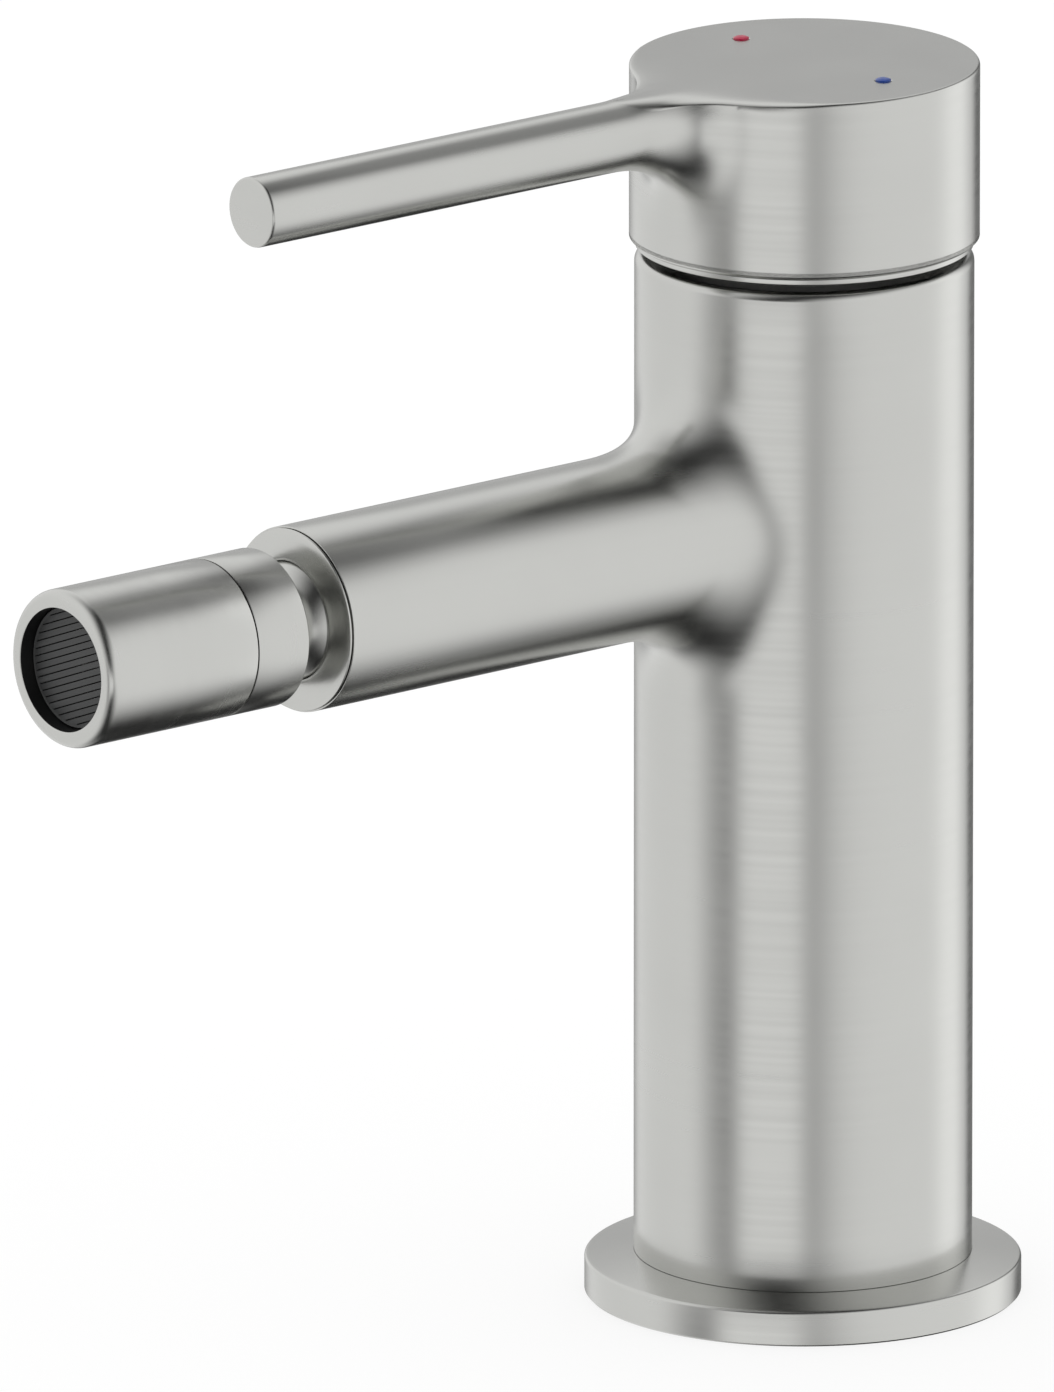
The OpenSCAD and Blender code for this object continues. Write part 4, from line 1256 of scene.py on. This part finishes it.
class MIXER_OT_stage(bpy.types.Operator):
    """Set up the floor, the soft studio light and the camera"""

    bl_idname = "mixer.stage"
    bl_label = "Stage"

    floor_size = 8
    # Grey that lights the object, and the darker grey and the glow that the camera sees instead
    floor_grey = (0.8, 0.8, 0.8, 1)
    seen_grey = (0.25, 0.25, 0.25, 1)
    floor_glow = 0.76
    # Directions are azimuth and elevation in degrees, and so are all widths
    front = (-63, 0)
    front_span = (-0.5, 0.3)
    above_pole = (-153, 19)
    below_pole = (23, 10)
    gap_start = 2.0
    # Widths of the two dark bands on either side of their middle; a pair is behind the front and ahead of it
    above_near = (24.0, 50.0)
    above_far = (33.0, 52.0)
    below_near = (44.0, 60.0)
    below_far = 48.0
    horizon = (-25.0, -5.0)
    dusk_span = (-0.6, 0.0)
    dusk = (28.0, 50.0, 0.14, 0.40)
    # Azimuth, elevation, inner and outer width of each round dark place, and the light that is left in it
    dark_places = (
        (0, 90, 0, 50, 0.5),
        (0, -90, 5, 38, 0.5),
        (140, 14, 4, 18, 0.54),
        (-160, -20, 10, 50, 0.94),
        (148, -12, 6, 24, 0.4),
        (126, -38, 6, 24, 0.05),
        (-98, -20, 4, 24, 0.62),
    )
    least_light = 0.02
    # Azimuths and elevations where each panel starts, is full, is full no more and ends, and its light
    panels = (
        ((-95, -78, -48, -31), (-29, -20, -10, 2), 1.18),
        ((80, 92, 101, 113), (-40, -28, 28, 40), 0.85),
        ((54, 76, 85, 99), (-40, -28, 28, 40), 1.27),
    )
    sensor_width = 36
    nearest = 0.5
    farthest = 30

    def floor(self):
        """Pale floor that keeps the object's shadow; polished metal doesn't mirror it."""
        deselect()
        bpy.ops.mesh.primitive_plane_add(size=self.floor_size, location=(0, 0, 0))
        floor = named("pale_floor")
        material, nodes = blank("pale_floor")
        matt = nodes.add("BsdfDiffuse", {"Color": self.floor_grey})
        seen = nodes.add("BsdfDiffuse", {"Color": self.seen_grey})
        glow = nodes.add("Emission", {"Strength": self.floor_glow})
        both = nodes.add("AddShader", {0: seen.outputs[0], 1: glow.outputs[0]})
        rays = nodes.add("LightPath").outputs
        mirrored = nodes.math("MAXIMUM", rays["Is Glossy Ray"], rays["Is Transmission Ray"])
        looks = nodes.math("MAXIMUM", rays["Is Camera Ray"], mirrored)
        pick = nodes.add("MixShader", {0: looks, 1: matt.outputs[0], 2: both.outputs[0]})
        nodes.add("OutputMaterial", {"Surface": pick.outputs[0]})
        floor.data.materials.append(material)
        floor.visible_glossy = False

    def facing(self, nodes, heading, azimuth, elevation):
        """Cosine of the angle between the heading and a direction."""
        a, e = math.radians(azimuth), math.radians(elevation)
        direction = (math.cos(a) * math.cos(e), math.sin(a) * math.cos(e), math.sin(e))
        return nodes.add("VectorMath", {0: heading, 1: direction}, operation="DOT_PRODUCT").outputs["Value"]

    def degrees(self, nodes, operation, *values):
        return nodes.times(nodes.math(operation, *values), math.degrees(1))

    def shade(self, nodes, heading, azimuth, elevation, inner, outer, darkest):
        """A round dark place: darkest within inner degrees of its middle, and 1 beyond outer."""
        angle = self.degrees(nodes, "ARCCOSINE", self.facing(nodes, heading, azimuth, elevation))
        return nodes.ramp(angle, inner, outer, darkest, 1.0)

    def gap(self, nodes, heading, pole, this_side, far_side):
        """A dark band between two banks of light, square to its pole, with the widths of its sides."""
        off = self.degrees(nodes, "ARCSINE", self.facing(nodes, heading, *pole))
        far = nodes.ramp(nodes.times(off, -1.0), 0.0, far_side)
        return nodes.math("MAXIMUM", nodes.ramp(off, self.gap_start, this_side), far)

    def window(self, nodes, value, low_out, low_in, high_in, high_out):
        """1 between the two inner limits, and 0 outside the outer ones."""
        return nodes.times(nodes.ramp(value, low_out, low_in), nodes.ramp(value, high_in, high_out, 1.0, 0.0))

    def light(self, nodes):
        """Light of the studio that polished metal shows, by direction."""
        heading = nodes.add("TexCoord").outputs["Generated"]
        parts = nodes.add("SeparateXYZ", {0: heading}).outputs
        azimuth = self.degrees(nodes, "ARCTAN2", parts[1], parts[0])
        elevation = self.degrees(nodes, "ARCSINE", parts[2])
        front = self.facing(nodes, heading, *self.front)

        def width(behind, ahead):
            return nodes.ramp(front, *self.front_span, behind, ahead)

        above = self.gap(nodes, heading, self.above_pole, width(*self.above_near), width(*self.above_far))
        dusk = nodes.times(nodes.ramp(front, *self.dusk_span, 1.0, 0.0), nodes.ramp(elevation, *self.dusk))
        above = nodes.math("MAXIMUM", above, dusk)
        below = self.gap(nodes, heading, self.below_pole, width(*self.below_near), self.below_far)
        light = nodes.mix(below, above, nodes.ramp(elevation, *self.horizon))
        for place in self.dark_places:
            light = nodes.times(self.shade(nodes, heading, *place), light)
        light = nodes.math("MAXIMUM", light, self.least_light)
        for around, upright, strength in self.panels:
            panel = nodes.times(self.window(nodes, azimuth, *around), self.window(nodes, elevation, *upright))
            light = nodes.mix(light, strength, panel)
        return light

    def studio(self, scene):
        """White all round; only polished metal shows the dark gaps between the lights and their panels."""
        world = bpy.data.worlds.new("soft_studio")
        scene.world = world
        world.use_nodes = True
        world.cycles.sampling_method = "NONE"
        nodes = Nodes(world.node_tree)
        mirrored = nodes.add("LightPath").outputs["Is Glossy Ray"]
        strength = nodes.mix(1.0, self.light(nodes), mirrored)
        background = nodes.add("Background", {"Color": (1, 1, 1, 1), "Strength": strength})
        nodes.add("OutputWorld", {"Surface": background.outputs[0]})

    def camera(self, scene, stage):
        a, e = stage.azimuth, stage.elevation
        back = Vector((math.sin(a) * math.cos(e), -math.cos(a) * math.cos(e), math.sin(e)))
        right = Vector((math.cos(a), math.sin(a), 0))
        up = back.cross(right)
        place = right * stage.aside + up * stage.above + back * stage.distance
        data = bpy.data.cameras.new("camera")
        data.lens = stage.lens
        data.sensor_width = self.sensor_width
        data.clip_start = self.nearest
        data.clip_end = self.farthest
        camera = bpy.data.objects.new("camera", data)
        camera.matrix_world = Matrix.Translation(place) @ Matrix((right, up, back)).transposed().to_4x4()
        scene.collection.objects.link(camera)
        scene.camera = camera
        scene.view_settings.view_transform = "Standard"

    def execute(self, context):
        self.floor()
        self.studio(context.scene)
        self.camera(context.scene, context.scene.mixer_stage)
        return {"FINISHED"}


class MIXER_PT_pieces(bpy.types.Panel):
    """Lists the pieces of the mixer"""

    bl_idname = "MIXER_PT_pieces"
    bl_label = "Bidet mixer"
    bl_space_type = "VIEW_3D"
    bl_region_type = "UI"
    bl_category = "Mixer"

    def draw(self, context):
        for operator in OPERATORS:
            self.layout.operator(operator.bl_idname)
        for name, kind in GROUPS.items():
            box = self.layout.box()
            for size in kind.__annotations__:
                box.prop(getattr(context.scene, name), size)


GROUPS = {
    "mixer_body": MixerBodySizes,
    "mixer_handle": MixerHandleSizes,
    "mixer_nozzle": MixerNozzleSizes,
    "mixer_finish": MixerFinish,
    "mixer_stage": MixerStage,
}
OPERATORS = (
    MIXER_OT_finishes, MIXER_OT_body, MIXER_OT_flange, MIXER_OT_trim, MIXER_OT_handle, MIXER_OT_inlays,
    MIXER_OT_nozzle, MIXER_OT_aerator, MIXER_OT_stage,
)


def register():
    for kind in (*GROUPS.values(), *OPERATORS, MIXER_PT_pieces):
        bpy.utils.register_class(kind)
    for name, group in GROUPS.items():
        setattr(bpy.types.Scene, name, PointerProperty(type=group))


def unregister():
    for name in GROUPS:
        delattr(bpy.types.Scene, name)
    for kind in reversed((*GROUPS.values(), *OPERATORS, MIXER_PT_pieces)):
        bpy.utils.unregister_class(kind)


def main():
    register()
    bpy.ops.mixer.finishes()
    bpy.ops.mixer.body()
    bpy.ops.mixer.flange()
    bpy.ops.mixer.trim()
    bpy.ops.mixer.handle()
    bpy.ops.mixer.inlays()
    bpy.ops.mixer.nozzle()
    bpy.ops.mixer.aerator()
    bpy.ops.mixer.stage()


if __name__ == "__main__":
    main()
